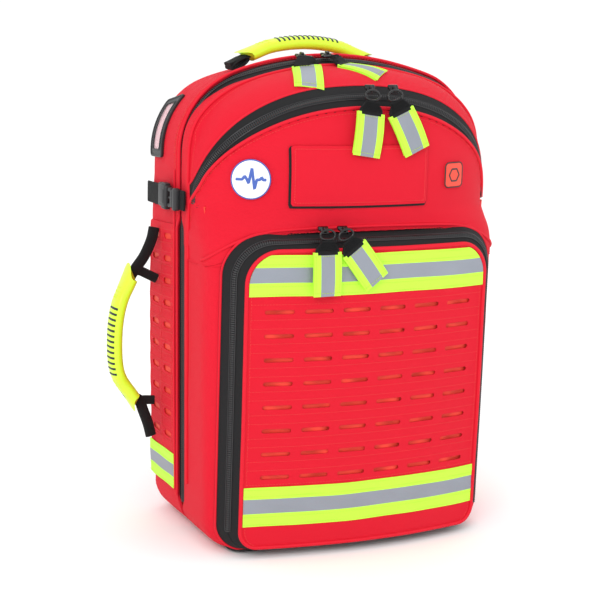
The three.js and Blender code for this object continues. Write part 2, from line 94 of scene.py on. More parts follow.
# ---- Materials ----
def new_material(name, color, roughness, metallic=0.0, sheen=0.0, specular=0.5, coat=0.0):
    material = bpy.data.materials.new(name)
    material.use_nodes = True
    shader = material.node_tree.nodes["Principled BSDF"]
    shader.inputs["Base Color"].default_value = (*color, 1)
    shader.inputs["Roughness"].default_value = roughness
    shader.inputs["Metallic"].default_value = metallic
    shader.inputs["Sheen Weight"].default_value = sheen
    shader.inputs["Specular IOR Level"].default_value = specular
    shader.inputs["Coat Weight"].default_value = coat
    return material


class Nodes:
    """A short way to add and join shader nodes."""

    def __init__(self, material):
        self.tree = material.node_tree
        self.shader = self.tree.nodes["Principled BSDF"]

    def add(self, kind, links=(), **values):
        node = self.tree.nodes.new(kind)
        for key, value in values.items():
            setattr(node, key, value)
        for socket, source in dict(links).items():
            if isinstance(source, bpy.types.NodeSocket):
                self.tree.links.new(source, node.inputs[socket])
            else:
                node.inputs[socket].default_value = source
        return node

    def math(self, operation, a, b=0.0):
        return self.add("ShaderNodeMath", {0: a, 1: b}, operation=operation).outputs[0]

    def to_shader(self, socket, source):
        self.tree.links.new(source, self.shader.inputs[socket])


def weave_height(nodes, pitch, slant=1.0):
    """A woven cloth's height: two sets of threads, twilled along x + y + slant * z."""
    place = nodes.add("ShaderNodeTexCoord").outputs["Object"]
    axes = nodes.add("ShaderNodeSeparateXYZ", {0: place})
    flat = nodes.math("ADD", axes.outputs[0], axes.outputs[1])
    turn = 2 * math.pi / (pitch * MM)
    rise = nodes.math("MULTIPLY", axes.outputs[2], slant)
    twill = nodes.math("SINE", nodes.math("MULTIPLY", nodes.math("ADD", flat, rise), turn))
    warp = nodes.math("SINE", nodes.math("MULTIPLY", flat, turn * 1.6))
    weft = nodes.math("SINE", nodes.math("MULTIPLY", axes.outputs[2], turn * 1.6))
    cross = nodes.math("MULTIPLY", warp, weft)
    return nodes.math("ADD", twill, nodes.math("MULTIPLY", cross, 0.5)), place


def cloth(name, color, roughness=0.75, pitch=1.3, bump=0.25, vary=0.12, sheen=0.25, slant=1.0, wear=0.06):
    """Woven cloth: thread relief, slow colour variation and faint rubbed patches."""
    material = new_material(name, color, roughness, sheen=sheen, specular=0.3)
    nodes = Nodes(material)
    height, place = weave_height(nodes, pitch, slant)
    slow = nodes.add("ShaderNodeTexNoise", {"Vector": place, "Scale": 9.0, "Detail": 4.0}).outputs["Fac"]
    fine = nodes.add("ShaderNodeTexNoise", {"Vector": place, "Scale": 420.0, "Detail": 2.0}).outputs["Fac"]
    shade = nodes.math("ADD", nodes.math("MULTIPLY", slow, vary), nodes.math("MULTIPLY", height, 0.035))
    shade = nodes.math("ADD", shade, nodes.math("MULTIPLY", fine, wear))
    ramp = nodes.add("ShaderNodeMix", {0: shade, 6: (*[c * 0.82 for c in color], 1),
                                       7: (*[min(1, c * 1.9 + 0.012) for c in color], 1)}, data_type="RGBA")
    nodes.to_shader("Base Color", ramp.outputs[2])
    rough = nodes.math("ADD", nodes.math("MULTIPLY", slow, 0.16), roughness - 0.08)
    nodes.to_shader("Roughness", rough)
    grain = nodes.math("ADD", height, nodes.math("MULTIPLY", fine, 0.8))
    relief = nodes.add("ShaderNodeBump", {"Strength": bump, "Distance": 0.0004, "Height": grain})
    nodes.to_shader("Normal", relief.outputs[0])
    shader = nodes.shader
    shader.inputs["Sheen Roughness"].default_value = 0.45
    shader.inputs["Sheen Tint"].default_value = (*[min(1, c + 0.25) for c in color], 1)
    return material


def hard(name, color, roughness, metallic=0.0, coat=0.0, grain=260.0, bump=0.06, vary=0.15):
    """Moulded plastic, rubber, film or metal: fine grain, slow roughness change and small scuffs."""
    material = new_material(name, color, roughness, metallic, coat=coat)
    nodes = Nodes(material)
    place = nodes.add("ShaderNodeTexCoord").outputs["Object"]
    slow = nodes.add("ShaderNodeTexNoise", {"Vector": place, "Scale": 22.0, "Detail": 5.0}).outputs["Fac"]
    fine = nodes.add("ShaderNodeTexNoise", {"Vector": place, "Scale": grain, "Detail": 3.0}).outputs["Fac"]
    mix = nodes.add("ShaderNodeMix", {0: nodes.math("MULTIPLY", slow, vary), 6: (*color, 1),
                                      7: (*[min(1, c * 1.7 + 0.02) for c in color], 1)}, data_type="RGBA")
    nodes.to_shader("Base Color", mix.outputs[2])
    nodes.to_shader("Roughness", nodes.math("ADD", nodes.math("MULTIPLY", fine, 0.2), roughness - 0.1))
    relief = nodes.add("ShaderNodeBump", {"Strength": bump, "Distance": 0.0004, "Height": fine})
    nodes.to_shader("Normal", relief.outputs[0])
    return material


RED = cloth("red_polyester", (0.80, 0.001, 0.020), roughness=0.75, bump=0.4, sheen=0.06)
RED_TRIM = cloth("red_trim", (0.80, 0.001, 0.02), roughness=0.65, pitch=0.9, bump=0.2, sheen=0.08)
RED_THREAD = cloth("red_thread", (0.86, 0.05, 0.05), roughness=0.6, pitch=0.5, bump=0.1)
LINING = cloth("red_lining", (0.95, 0.055, 0.03), roughness=0.55, pitch=0.8, bump=0.12, sheen=0.1)
TAPE_CLOTH = cloth("zip_tape_cloth", (0.009, 0.009, 0.010), roughness=0.8, pitch=1.1, bump=0.35, wear=0.1,
                   sheen=0.05)
COIL = hard("zip_coil", (0.02, 0.02, 0.022), 0.35)
WEB = cloth("black_webbing", (0.006, 0.006, 0.007), roughness=0.8, pitch=2.2, bump=0.8, wear=0.15, slant=2.0,
            sheen=0.06)
YELLOW = cloth("fluorescent_cloth", (0.50, 1.0, 0.06), roughness=0.55, pitch=0.8, bump=0.12, vary=0.05,
               sheen=0.0)
YELLOW_THREAD = cloth("yellow_thread", (0.5, 0.75, 0.05), roughness=0.6, pitch=0.5, bump=0.1)
SILVER = hard("retroreflective_film", (0.24, 0.26, 0.30), 0.42, metallic=0.35, grain=900.0, bump=0.05,
              vary=0.3)
GRIP = hard("grip_plastic", (0.60, 0.93, 0.03), 0.36, grain=500.0, bump=0.05, vary=0.1)
BLACK_METAL = hard("black_metal", (0.012, 0.012, 0.013), 0.22, metallic=0.7, coat=0.5)
BLACK_PLASTIC = hard("black_plastic", (0.014, 0.014, 0.016), 0.42, grain=380.0, bump=0.12)
CARD = hard("pink_card", (0.80, 0.42, 0.48), 0.5, grain=300.0, bump=0.03, vary=0.1)
WHITE = hard("white_print", (0.86, 0.88, 0.92), 0.35, grain=300.0, bump=0.03, vary=0.1)
BLUE = hard("blue_print", (0.05, 0.11, 0.42), 0.35, grain=300.0, bump=0.03, vary=0.1)
PATCH = hard("patch_rubber", (0.82, 0.06, 0.03), 0.5, grain=300.0, bump=0.1, vary=0.1)
MESH = cloth("spacer_mesh", (0.014, 0.014, 0.016), roughness=0.9, pitch=3.2, bump=1.0, wear=0.2)
BASE = cloth("coated_base", (0.012, 0.012, 0.013), roughness=0.55, pitch=1.6, bump=0.3)
BOARD = hard("stiffening_board", (0.03, 0.032, 0.035), 0.6)


def clear_film():
    material = hard("clear_film", (0.9, 0.62, 0.66), 0.14, coat=0.6, grain=60.0, bump=0.15)
    shader = material.node_tree.nodes["Principled BSDF"]
    shader.inputs["Alpha"].default_value = 0.45
    return material


FILM = clear_film()
# Painted glow: the fluorescent cloth and the grip plastic give off a little light of their own, so they look
# brighter than the lamps alone make them.
for glow, weight in ((YELLOW, 0.16), (GRIP, 0.07)):
    glow_shader = glow.node_tree.nodes["Principled BSDF"]
    glow_shader.inputs["Emission Color"].default_value = (0.6, 1.0, 0.03, 1)
    glow_shader.inputs["Emission Strength"].default_value = weight


# ---- Meshes from points ----
def piece(name, body, points, faces, materials, slots=None, replaces=(), smooth=True):
    """A mesh object from points in millimetres. slots gives each face's material."""
    mesh = bpy.data.meshes.new(name)
    mesh.from_pydata((np.asarray(points, float) * MM).tolist(), [], [list(map(int, f)) for f in faces])
    for material in materials:
        mesh.materials.append(material)
    if slots is not None:
        mesh.polygons.foreach_set("material_index", np.asarray(slots, np.int32))
    obj = bpy.data.objects.new(name, mesh)
    bpy.context.collection.objects.link(obj)
    work = bmesh.new()
    work.from_mesh(mesh)
    bmesh.ops.recalc_face_normals(work, faces=work.faces)
    work.to_mesh(mesh)
    work.free()
    mesh.polygons.foreach_set("use_smooth", [smooth] * len(mesh.polygons))
    if smooth:
        mesh.set_sharp_from_angle(angle=math.radians(50))
    if body:
        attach(obj, body)
    if replaces:
        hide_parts(*replaces)
    return obj


class Parts:
    """Many small shapes gathered into one piece."""

    def __init__(self):
        self.points, self.faces, self.slots, self.count = [], [], [], 0

    def add(self, points, faces, slot=0):
        points = np.asarray(points, float).reshape(-1, 3)
        self.points.append(points)
        self.faces.extend([tuple(int(i) + self.count for i in face) for face in faces])
        self.slots.extend([slot] * len(faces))
        self.count += len(points)

    def build(self, name, body, materials, replaces=(), smooth=True):
        points = np.concatenate(self.points)
        return piece(name, body, points, self.faces, materials, self.slots, replaces, smooth)


def unit(vectors):
    return vectors / np.maximum(np.linalg.norm(vectors, axis=-1, keepdims=True), 1e-9)


def grid_faces(rows, columns, wrap_rows=False, wrap_columns=False):
    faces = []
    for r in range(rows if wrap_rows else rows - 1):
        for c in range(columns if wrap_columns else columns - 1):
            r2, c2 = (r + 1) % rows, (c + 1) % columns
            faces.append((r * columns + c, r * columns + c2, r2 * columns + c2, r2 * columns + c))
    return faces


def grid_normals(grid, wrap_rows=False, outward=None):
    """Unit normals of a grid of points, turned away from the point outward."""
    if wrap_rows:
        along = np.roll(grid, -1, 0) - np.roll(grid, 1, 0)
    else:
        along = np.gradient(grid, axis=0)
    normals = unit(np.cross(along, np.gradient(grid, axis=1)))
    middle = grid.reshape(-1, 3).mean(0) if outward is None else np.asarray(outward, float)
    if np.sum(normals * (grid - middle)) < 0:
        normals = -normals
    return normals


def slab(points, normals, faces, thickness):
    """A sheet's points and faces given thickness behind it, with its borders closed."""
    points = np.asarray(points, float).reshape(-1, 3)
    behind = points - np.asarray(normals).reshape(-1, 3) * thickness
    count = len(points)
    seen = {}
    for face in faces:
        for a, b in zip(face, face[1:] + face[:1]):
            seen[(a, b)] = True
    rim = [(a, b) for a, b in seen if (b, a) not in seen]
    closed = [tuple(f) for f in faces] + [tuple(i + count for i in reversed(f)) for f in faces]
    closed += [(b, a, a + count, b + count) for a, b in rim]
    return np.concatenate([points, behind]), closed


def sheet_grid(name, body, grid, normals, thickness, materials, wrap_rows=False, slots=None, replaces=()):
    faces = [tuple(f) for f in grid_faces(*grid.shape[:2], wrap_rows=wrap_rows)]
    points, closed = slab(grid, normals, faces, thickness)
    if slots is not None:
        slots = list(slots) + list(slots) + [0] * (len(closed) - 2 * len(faces))
    return piece(name, body, points, closed, materials, slots, replaces)


def directions(path, closed=False):
    path = np.asarray(path, float)
    if closed:
        return unit(np.roll(path, -1, 0) - np.roll(path, 1, 0))
    return unit(np.gradient(path, axis=0))


def sweep(profile, path, ups, closed=False, scales=None):
    """A profile of (side, up) points carried along a path whose ups point away from the surface."""
    path = np.asarray(path, float)
    forward = directions(path, closed)
    ups = np.broadcast_to(np.asarray(ups, float), path.shape)
    ups = unit(ups - np.sum(ups * forward, -1, keepdims=True) * forward)
    side = np.cross(forward, ups)
    profile = np.asarray(profile, float)
    if scales is None:
        scales = np.ones((len(path), 2))
    scales = np.asarray(scales, float).reshape(len(path), -1) * np.ones((1, 2))
    ring = (path[:, None] + side[:, None] * (profile[None, :, :1] * scales[:, None, :1])
            + ups[:, None] * (profile[None, :, 1:] * scales[:, None, 1:]))
    rows, columns = ring.shape[:2]
    faces = grid_faces(rows, columns, wrap_rows=closed, wrap_columns=True)
    if not closed:
        faces.append(tuple(range(columns)))
        faces.append(tuple((rows - 1) * columns + i for i in reversed(range(columns))))
    return ring.reshape(-1, 3), faces


def round_profile(half_side, half_up, sides=10, power=2.0):
    turn = np.arange(sides) * 2 * math.pi / sides
    c, s = np.cos(turn), np.sin(turn)
    return np.stack([half_side * np.sign(c) * np.abs(c) ** (2 / power),
                     half_up * np.sign(s) * np.abs(s) ** (2 / power)], -1)


def transported_ups(path, first):
    ups = [np.asarray(first, float)]
    forward = directions(path)
    for direction in forward[1:]:
        up = ups[-1] - direction * np.dot(ups[-1], direction)
        ups.append(up / np.linalg.norm(up))
    return np.asarray(ups)


def resample(path, count=None, step=None, closed=False):
    path = np.asarray(path, float)
    if closed:
        path = np.concatenate([path, path[:1]])
    lengths = np.concatenate([[0], np.cumsum(np.linalg.norm(np.diff(path, axis=0), axis=1))])
    if count is None:
        count = max(2, int(round(lengths[-1] / step)) + 1)
    where = np.linspace(0, lengths[-1], count + 1 if closed else count)
    out = np.stack([np.interp(where, lengths, path[:, k]) for k in range(path.shape[1])], -1)
    return out[:-1] if closed else out


def smooth_path(points, count):
    """A Catmull-Rom curve through points, at even steps."""
    p = np.asarray(points, float)
    p = np.concatenate([[2 * p[0] - p[1]], p, [2 * p[-1] - p[-2]]])
    out = []
    for i in range(1, len(p) - 2):
        t = np.linspace(0, 1, 24, endpoint=False)[:, None]
        a, b, c, d = p[i - 1], p[i], p[i + 1], p[i + 2]
        out.append(0.5 * (2 * b + (c - a) * t + (2 * a - 5 * b + 4 * c - d) * t**2
                          + (3 * b - a - 3 * c + d) * t**3))
    out.append(p[-2][None])
    return resample(np.concatenate(out), count)


# ---- Stitching and zip coils ----
def even_line(path, ups, pitch):
    """Points at even steps along a path, with their outward, forward and side directions."""
    both = np.concatenate([np.asarray(path, float), np.broadcast_to(ups, np.shape(path))], -1)
    even = resample(both, step=pitch)
    centres, normals = even[:, :3], unit(even[:, 3:])
    forward = directions(centres)
    return centres, normals, forward, np.cross(forward, normals)


def four_sided_run(sections):
    """The faces of a run of four-cornered sections, closed at both ends."""
    last = 4 * sections
    faces = [(0, 1, 2, 3), (last - 1, last - 2, last - 3, last - 4)]
    for first in range(0, last - 4, 4):
        for i in range(4):
            after = (i + 1) % 4
            faces.append((first + i, first + 4 + i, first + 4 + after, first + after))
    return faces


def add_stitches(parts, path, ups, pitch=3.6, length=2.5, radius=0.32, slot=0):
    """Thread dashes lying on a surface along a path."""
    faces = four_sided_run(4)
    for p, n, f, s in zip(*even_line(path, ups, pitch)):
        a, b = p - f * length / 2, p + f * length / 2
        corners = []
        for end, lift in ((a, 0.0), (p - f * length / 4, 1.0), (p + f * length / 4, 1.0), (b, 0.0)):
            mid = end + n * radius * (0.3 * lift - 0.2)
            wide = radius * (0.5 + 0.5 * lift)
            corners += [mid - s * wide, mid + n * wide, mid + s * wide, mid - n * wide]
        parts.add(corners, faces, slot)


def add_coil(parts, path, ups, pitch=2.4, half_width=2.9, height=1.5, slot=0):
    """A closed zip's coil: turns that cross the middle, with a sewn cord line along each side."""
    centres, normals, forward, side = even_line(path, ups, pitch)
    faces = four_sided_run(5)
    for p, f, s, n in zip(centres, forward, side, normals):
        corners = []
        for across, lift in ((-1, 0.0), (-0.55, 0.85), (0, 1.0), (0.55, 0.85), (1, 0.0)):
            mid = p + s * half_width * across + n * height * lift
            corners += [mid - f * pitch * 0.3, mid + n * 0.35, mid + f * pitch * 0.3, mid - n * 0.5]
        parts.add(corners, faces, slot)
    for line in (-1, 1):
        rail = centres + side * half_width * line * 1.15 + normals * 0.3
        parts.add(*sweep(round_profile(0.55, 0.45, 6), rail, normals), slot)


# ---- The bag's outline and surfaces ----
# These follow the CAD's driving dimensions, some moved a little to match the bag's real look.
HALF_WIDTH, FOOT_HALF_WIDTH, FOOT_RADIUS, FOOT_Z = 180.0, 172.0, 30.0, 4.0
SHOULDER_Z, SHOULDER_RADIUS, CROWN_RADIUS = 432.0, 89.0, 370.0
SHOULDER_X = HALF_WIDTH - SHOULDER_RADIUS
SHOULDER_TURN = math.acos(SHOULDER_X / (CROWN_RADIUS - SHOULDER_RADIUS))
CROWN_CENTRE_Z = SHOULDER_Z - (CROWN_RADIUS - SHOULDER_RADIUS) * math.sin(SHOULDER_TURN)
CROWN_Z = CROWN_CENTRE_Z + CROWN_RADIUS
SHELL_DEPTH, SHELL_EDGE_RADIUS, SHELL_DROP = 102.0, 14.0, 10.0
LID_CROWN_DROP = 9.0
DOME_Z, DOME_POWER, RISE_POWER, BOX_POWER = 380.0, 2.2, 3.3, 5.5
DOME_HALF, DOME_BASE, DOME_REACH = 177.0, 20.0, 85.0
DOME_HEIGHT = CROWN_Z - LID_CROWN_DROP - DOME_Z
ARCH_X, UPPER_HALF, UPPER_RISE = -3.0, 173.0, 117.0


def smoothstep(value, low=0.0, high=1.0):
    t = np.clip((np.asarray(value, float) - low) / (high - low), 0, 1)
    return t * t * (3 - 2 * t)


def make_outline(count):
    """Points and outward normals round the bag's outline, as rows of x, z, nx, nz."""
    def arc(cx, cz, radius, start, end):
        turn = np.linspace(start, end, 60)
        nx, nz = np.cos(turn), np.sin(turn)
        return np.stack([cx + radius * nx, cz + radius * nz, nx, nz], -1)

    foot_x, foot_z = FOOT_HALF_WIDTH - FOOT_RADIUS, FOOT_Z + FOOT_RADIUS
    quarter = math.pi / 2
    rows = np.concatenate([
        arc(foot_x, foot_z, FOOT_RADIUS, -quarter, 0),
        arc(SHOULDER_X, SHOULDER_Z, SHOULDER_RADIUS, 0, SHOULDER_TURN),
        arc(0, CROWN_CENTRE_Z, CROWN_RADIUS, SHOULDER_TURN, math.pi - SHOULDER_TURN),
        arc(-SHOULDER_X, SHOULDER_Z, SHOULDER_RADIUS, math.pi - SHOULDER_TURN, math.pi),
        arc(-foot_x, foot_z, FOOT_RADIUS, math.pi, math.pi + quarter),
    ])
    lengths = np.linalg.norm(np.diff(np.concatenate([rows, rows[:1]])[:, :2], axis=0), axis=1)
    where = np.concatenate([[0], np.cumsum(lengths)])
    looped = np.concatenate([rows, rows[:1]])
    even = np.linspace(0, where[-1], count, endpoint=False)
    out = np.stack([np.interp(even, where, looped[:, k]) for k in range(4)], -1)
    out[:, 2:] = unit(out[:, 2:])
    return out


OUTLINE = make_outline(420)
OX, OZ, ONX, ONZ = OUTLINE.T


def outline_above(height):
    """The outline's point numbers above a height, in order from the right foot over the crown."""
    above = OZ > height
    order = np.roll(np.arange(len(OX)), -int(np.argmax(~above)))
    return order[above[order]]


def lid_drop(z):
    """How far the lid's outline sinks under the rear shell's at the crown."""
    return LID_CROWN_DROP * smoothstep(z, 455, 530)


def dome_depth(x, z):
    """How far the lid's front stands out from the main zip: a dome above DOME_Z, boxier below it."""
    rise = np.maximum(0, z - DOME_Z) / DOME_HEIGHT
    boxy = smoothstep(DOME_Z - z, 0, 60)
    power = DOME_POWER + (BOX_POWER - DOME_POWER) * boxy
    reach = DOME_REACH - 10 * boxy
    inside = 1 - np.abs(x / DOME_HALF) ** power - rise ** RISE_POWER
    return DOME_BASE + reach * np.maximum(inside, 0) ** (1 / power)


def folds(x, y, z):
    """Slow soft unevenness of stuffed cloth, in millimetres outward."""
    low = np.sin(x / 41 + 1.3 * np.sin(z / 67)) * np.sin(z / 53 + 0.7 + y / 60)
    mid = np.sin(x / 19 + z / 31 + 2.1) * np.sin(z / 23 - x / 37 + y / 25)
    return 0.9 * low + 0.35 * mid


def spaced_rays(depth, start, end, count, dense=260):
    """Lines on a depth surface from start to end points (x, z), with even steps along the surface."""
    t = np.linspace(0, 1, dense)[None, :, None]
    flat = start[:, None, :] * (1 - t) + end[:, None, :] * t
    x, z = flat[..., 0], flat[..., 1]
    rays = np.stack([x, -depth(x, z), z], -1)
    return np.stack([resample(ray, count) for ray in rays])


def relax(grid, passes, weight=0.5):
    """Rounds a grid's columns off, with both ends held."""
    for _ in range(passes):
        inner = 0.5 * (grid[:, :-2] + grid[:, 2:])
        grid[:, 1:-1] += weight * (inner - grid[:, 1:-1])
    return grid


def lid_surface():
    """The lid's whole outside as a fine mesh: rays from its middle to the outline, then back to the zip."""
    fine = make_outline(620)
    drop = lid_drop(fine[:, 1])
    edge = np.stack([fine[:, 0] - drop * fine[:, 2], fine[:, 1] - drop * fine[:, 3]], -1)
    middle = np.tile([[0.0, 300.0]], (len(fine), 1))
    face = spaced_rays(dome_depth, middle, edge, 150)
    wall_steps = np.linspace(20, 0, 9)[1:]
    wall = np.stack([np.stack([edge[:, 0], np.full(len(edge), -f), edge[:, 1]], -1) for f in wall_steps], 1)
    grid = np.concatenate([face, wall], 1)
    grid = np.stack([resample(row, 170) for row in grid])
    grid = relax(grid, 24)
    normals = grid_normals(grid, wrap_rows=True, outward=(0, 0, 280))
    lift = folds(grid[..., 0], grid[..., 1], grid[..., 2]) * smoothstep(-grid[..., 1], 8, 40)
    grid = grid + normals * lift[..., None]
    faces = grid_faces(*grid.shape[:2], wrap_rows=True)
    tree = BVHTree.FromPolygons(grid.reshape(-1, 3).tolist(), faces)
    return tree


LID_TREE = lid_surface()


def settle(points, lift=0.0, tree=LID_TREE):
    """Points moved onto a surface and raised by lift, with the surface's normals there."""
    shape = np.shape(points)
    out, normals = [], []
    for p in np.reshape(points, (-1, 3)):
        spot, normal, _, _ = tree.find_nearest(Vector(p))
        away = np.asarray(spot) - np.array((0, 20, 280))
        normal = np.asarray(normal) * (1 if np.dot(normal, away) > 0 else -1)
        out.append(np.asarray(spot))
        normals.append(normal)
    out, normals = np.array(out), np.array(normals)
    raised = out + normals * np.broadcast_to(np.asarray(lift, float).reshape(-1, 1), (len(out), 1))
    return raised.reshape(shape), normals.reshape(shape)


def slim(z):
    """How much narrower the upper zip looks from the front where the dome turns away to the side."""
    return 0.2 + 0.8 * smoothstep(z, 395, 492)


def zone_point(turn, w):
    """A point on the upper zip's arch (turn from 0 at the right to pi at the left), w outside it."""
    c, s = np.cos(turn), np.sin(turn)
    power = 2 / DOME_POWER
    w = w * slim(DOME_Z + UPPER_RISE * np.abs(s) ** power)
    x = ARCH_X + (UPPER_HALF + w) * np.sign(c) * np.abs(c) ** power
    z = DOME_Z + (UPPER_RISE + w) * np.abs(s) ** power
    return side_capped(x, z, w)


def side_capped(x, z, w):
    """x, z on the dome, or where the arch leaves its front, a place on its side 24 - 0.6 w forward."""
    forward = dome_depth(x, z)
    least = 24.0 + 0 * z - 0.6 * w
    rise = np.maximum(0, z - DOME_Z) / DOME_HEIGHT
    q = np.maximum(least - DOME_BASE, 0) / DOME_REACH
    inside = np.maximum(1 - rise ** RISE_POWER - q ** DOME_POWER, 0.02)
    x_side = np.sign(x) * np.where(least > DOME_BASE, DOME_HALF * inside ** (1 / DOME_POWER), 178.5)
    off = (forward < least) | (np.abs(x) > np.abs(x_side))
    return np.stack([np.where(off, x_side, x), -np.where(off, least, forward), z], -1)


def arch_path(w, low_z, steps=240):
    """The upper zip's line at offset w, from its right end over the top to its left end."""
    turn = np.linspace(0, math.pi, steps)
    w_here = w(turn) if callable(w) else w
    arch = zone_point(turn, w_here)
    w_right = w_here[0] if callable(w) else w
    w_left = w_here[-1] if callable(w) else w
    down = np.linspace(low_z, DOME_Z, 14)[:-1] if low_z < DOME_Z else np.zeros(0)
    w_right, w_left = w_right * slim(DOME_Z), w_left * slim(DOME_Z)
    right = side_capped(np.full(len(down), UPPER_HALF + w_right), down, w_right)
    left = side_capped(np.full(len(down), -UPPER_HALF - w_left), down[::-1], w_left)
    return np.concatenate([right, arch, left])


# ---- The lower pocket's outline ----
LOWER_HALF, LOWER_TOP, LOWER_BOTTOM, GUSSET, TOP_CORNER, BOTTOM_CORNER = 163.0, 355.0, 6.0, 18.0, 45.0, 28.0
LOWER_BASE, LOWER_CROWN, LOWER_FALL, LOWER_PANEL_HALF = 95.0, 125.0, 17.0, 146.0
TOP_SHRINK = 0.85


def lower_limits(inset):
    """The lower pocket's half width, top, bottom, and top and bottom corner radius at an inset."""
    return (LOWER_HALF - inset, LOWER_TOP - TOP_SHRINK * inset, LOWER_BOTTOM + inset / 3,
            TOP_CORNER - inset / 2, BOTTOM_CORNER - inset / 2)


def lower_ring(inset, corner_steps=16, side_steps=40):
    """The lower pocket's outline, shrunk by inset, with the same number of points at every inset."""
    half, top, bottom, r_top, r_bottom = lower_limits(inset)
    high, low = top - r_top, bottom + r_bottom
    quarter = math.pi / 2
    out = []
    corners = [(half - r_bottom, low, r_bottom, -quarter), (half - r_top, high, r_top, 0),
               (r_top - half, high, r_top, quarter), (r_bottom - half, low, r_bottom, 2 * quarter)]
    for k, (cx, cz, radius, start) in enumerate(corners):
        turn = np.linspace(start, start + quarter, corner_steps)
        arc = np.stack([cx + radius * np.cos(turn), cz + radius * np.sin(turn)], -1)
        nx, nz, nr, ns = corners[(k + 1) % 4]
        following = np.array([nx + nr * math.cos(ns), nz + nr * math.sin(ns)])
        t = np.linspace(0, 1, side_steps + 2)[1:-1, None]
        out += [arc, arc[-1] * (1 - t) + following * t]
    return np.concatenate(out)


def lower_depth(x, z):
    """The lower panel's depth, rounded off towards its seams."""
    swell = 1.2 * np.sin(np.pi * np.clip((z - 15) / 325, 0, 1))
    return LOWER_CROWN - LOWER_FALL * (x / LOWER_PANEL_HALF) ** 2 + swell + 0.6 * folds(x, 0, z)


def on_lower(x, z, lift=0.0):
    """Points on the lower panel and their normals."""
    x, z = np.asarray(x, float), np.asarray(z, float)
    step = 0.5
    slope_x = (lower_depth(x + step, z) - lower_depth(x - step, z)) / (2 * step)
    slope_z = (lower_depth(x, z + step) - lower_depth(x, z - step)) / (2 * step)
    normals = unit(np.stack([-slope_x, -np.ones_like(slope_x), -slope_z], -1))
    points = np.stack([x, -lower_depth(x, z), z], -1)
    return points + normals * np.asarray(lift)[..., None], normals


# ---- Lid ----
TAPE_WIDTH = 12.0
ZIP_END_LOW, ZIP_END_HIGH = 378.0, 405.0


def panel_edge(z):
    """Where the upper panel ends, measured out from its zip: it swallows the tapes at the zip's ends."""
    return -TAPE_WIDTH + 15 * (1 - smoothstep(z, ZIP_END_LOW, ZIP_END_HIGH))


def lid_edge(z):
    return 11.5 - 4.5 * (1 - smoothstep(z, ZIP_END_LOW, ZIP_END_HIGH))


def arch_z(turn):
    return DOME_Z + UPPER_RISE * np.abs(np.sin(turn)) ** (2 / DOME_POWER)


def main_gap(z):
    """Half the main zip's opening between its two cloth edges."""
    side = 7.6 * smoothstep(z, 26, 40) * (1 - smoothstep(z, 346, 362))
    return 1.2 + side + 8 * smoothstep(z, 508, 528)


def lid_cloth():
    """The lid's red shell, from the main zip to the upper zip, the lower pocket and the bottom seam."""
    low_ring = lower_ring(0)
    rows = []
    for x, z, nx, nz in OUTLINE:
        drop = lid_drop(z)
        ex, ez = x - drop * nx, z - drop * nz
        gap = main_gap(z)
        path = [(ex - 3 * nx, -gap - 2.5, ez - 3 * nz), (ex - 0.8 * nx, -gap - 0.4, ez - 0.8 * nz),
                (ex, -gap - 1.5, ez), (ex, -19, ez)]
        if z > ZIP_END_LOW:
            direction = np.array([ex - ARCH_X, ez - DOME_Z])
            reach = (abs(direction[0]) / UPPER_HALF) ** DOME_POWER
            reach += (abs(direction[1]) / UPPER_RISE) ** DOME_POWER
            zip_z = DOME_Z + direction[1] * reach ** (-1 / DOME_POWER)
            w = lid_edge(zip_z) * slim(zip_z)
            reach = (abs(direction[0]) / (UPPER_HALF + w)) ** DOME_POWER
            reach += (abs(direction[1]) / (UPPER_RISE + w)) ** DOME_POWER
            inside = reach > 1.02 and z > 396
            q = np.array([ARCH_X, DOME_Z]) + direction * reach ** (-1 / DOME_POWER)
        elif z < 331:
            q = low_ring[np.argmin(np.hypot(low_ring[:, 0] - ex, low_ring[:, 1] - ez))]
            inside = True
        else:
            inside = False
        if inside:
            t = np.linspace(0, 1, 60)[1:]
            face_x, face_z = ex + (q[0] - ex) * t, ez + (q[1] - ez) * t
            path += list(np.stack([face_x, -np.maximum(dome_depth(face_x, face_z), 19.5), face_z], -1))
        else:
            path.append((ex, -21.0, ez))
        rows.append(resample(path, 34))
    grid = np.stack(rows)
    settled, normals = settle(grid[:, 3:])
    grid[:, 3:] = settled
    normals = np.concatenate([np.repeat(normals[:, :1], 3, 1), normals], 1)
    return sheet_grid("lid_cloth", "lid", grid, normals, 2.2, [RED], wrap_rows=True, replaces=["lid_shell"])


def upper_panel():
    """The upper pocket's front and the cloth under it, as one piece."""
    arch = arch_path(lambda turn: panel_edge(arch_z(turn)), 316)
    ring = lower_ring(0)
    count = len(ring)
    crest = [p for p in np.roll(ring, -count // 2, 0) if p[1] > 312]
    crest = np.array(sorted(crest, key=lambda p: math.atan2(p[0], p[1] - 200)))
    arch_edge = arch[:, [0, 2]]
    low = arch_edge[:, 1] < ZIP_END_LOW
    arch_edge[low, 0] = np.sign(arch_edge[low, 0]) * 178.2
    edge = np.concatenate([arch_edge, crest[np.abs(crest[:, 0]) < LOWER_HALF - 0.5]])
    edge = resample(edge, 300, closed=True)
    centre = np.tile([[0.0, 402.0]], (len(edge), 1))
    grid = spaced_rays(dome_depth, centre, edge, 52)
    grid, normals = settle(grid, 0.7)
    pucker = 0.5 * np.sin(np.arange(len(edge)) * 1.9)[:, None] * np.linspace(0, 1, 52)[None] ** 14
    crease = fold_creases(grid)
    grid = grid + normals * (pucker + crease)[..., None]
    piece_obj = sheet_grid("upper_panel_cloth", None, grid, normals, 1.8, [RED], wrap_rows=True,
                           replaces=["upper_panel"])
    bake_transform(piece_obj)
    return piece_obj


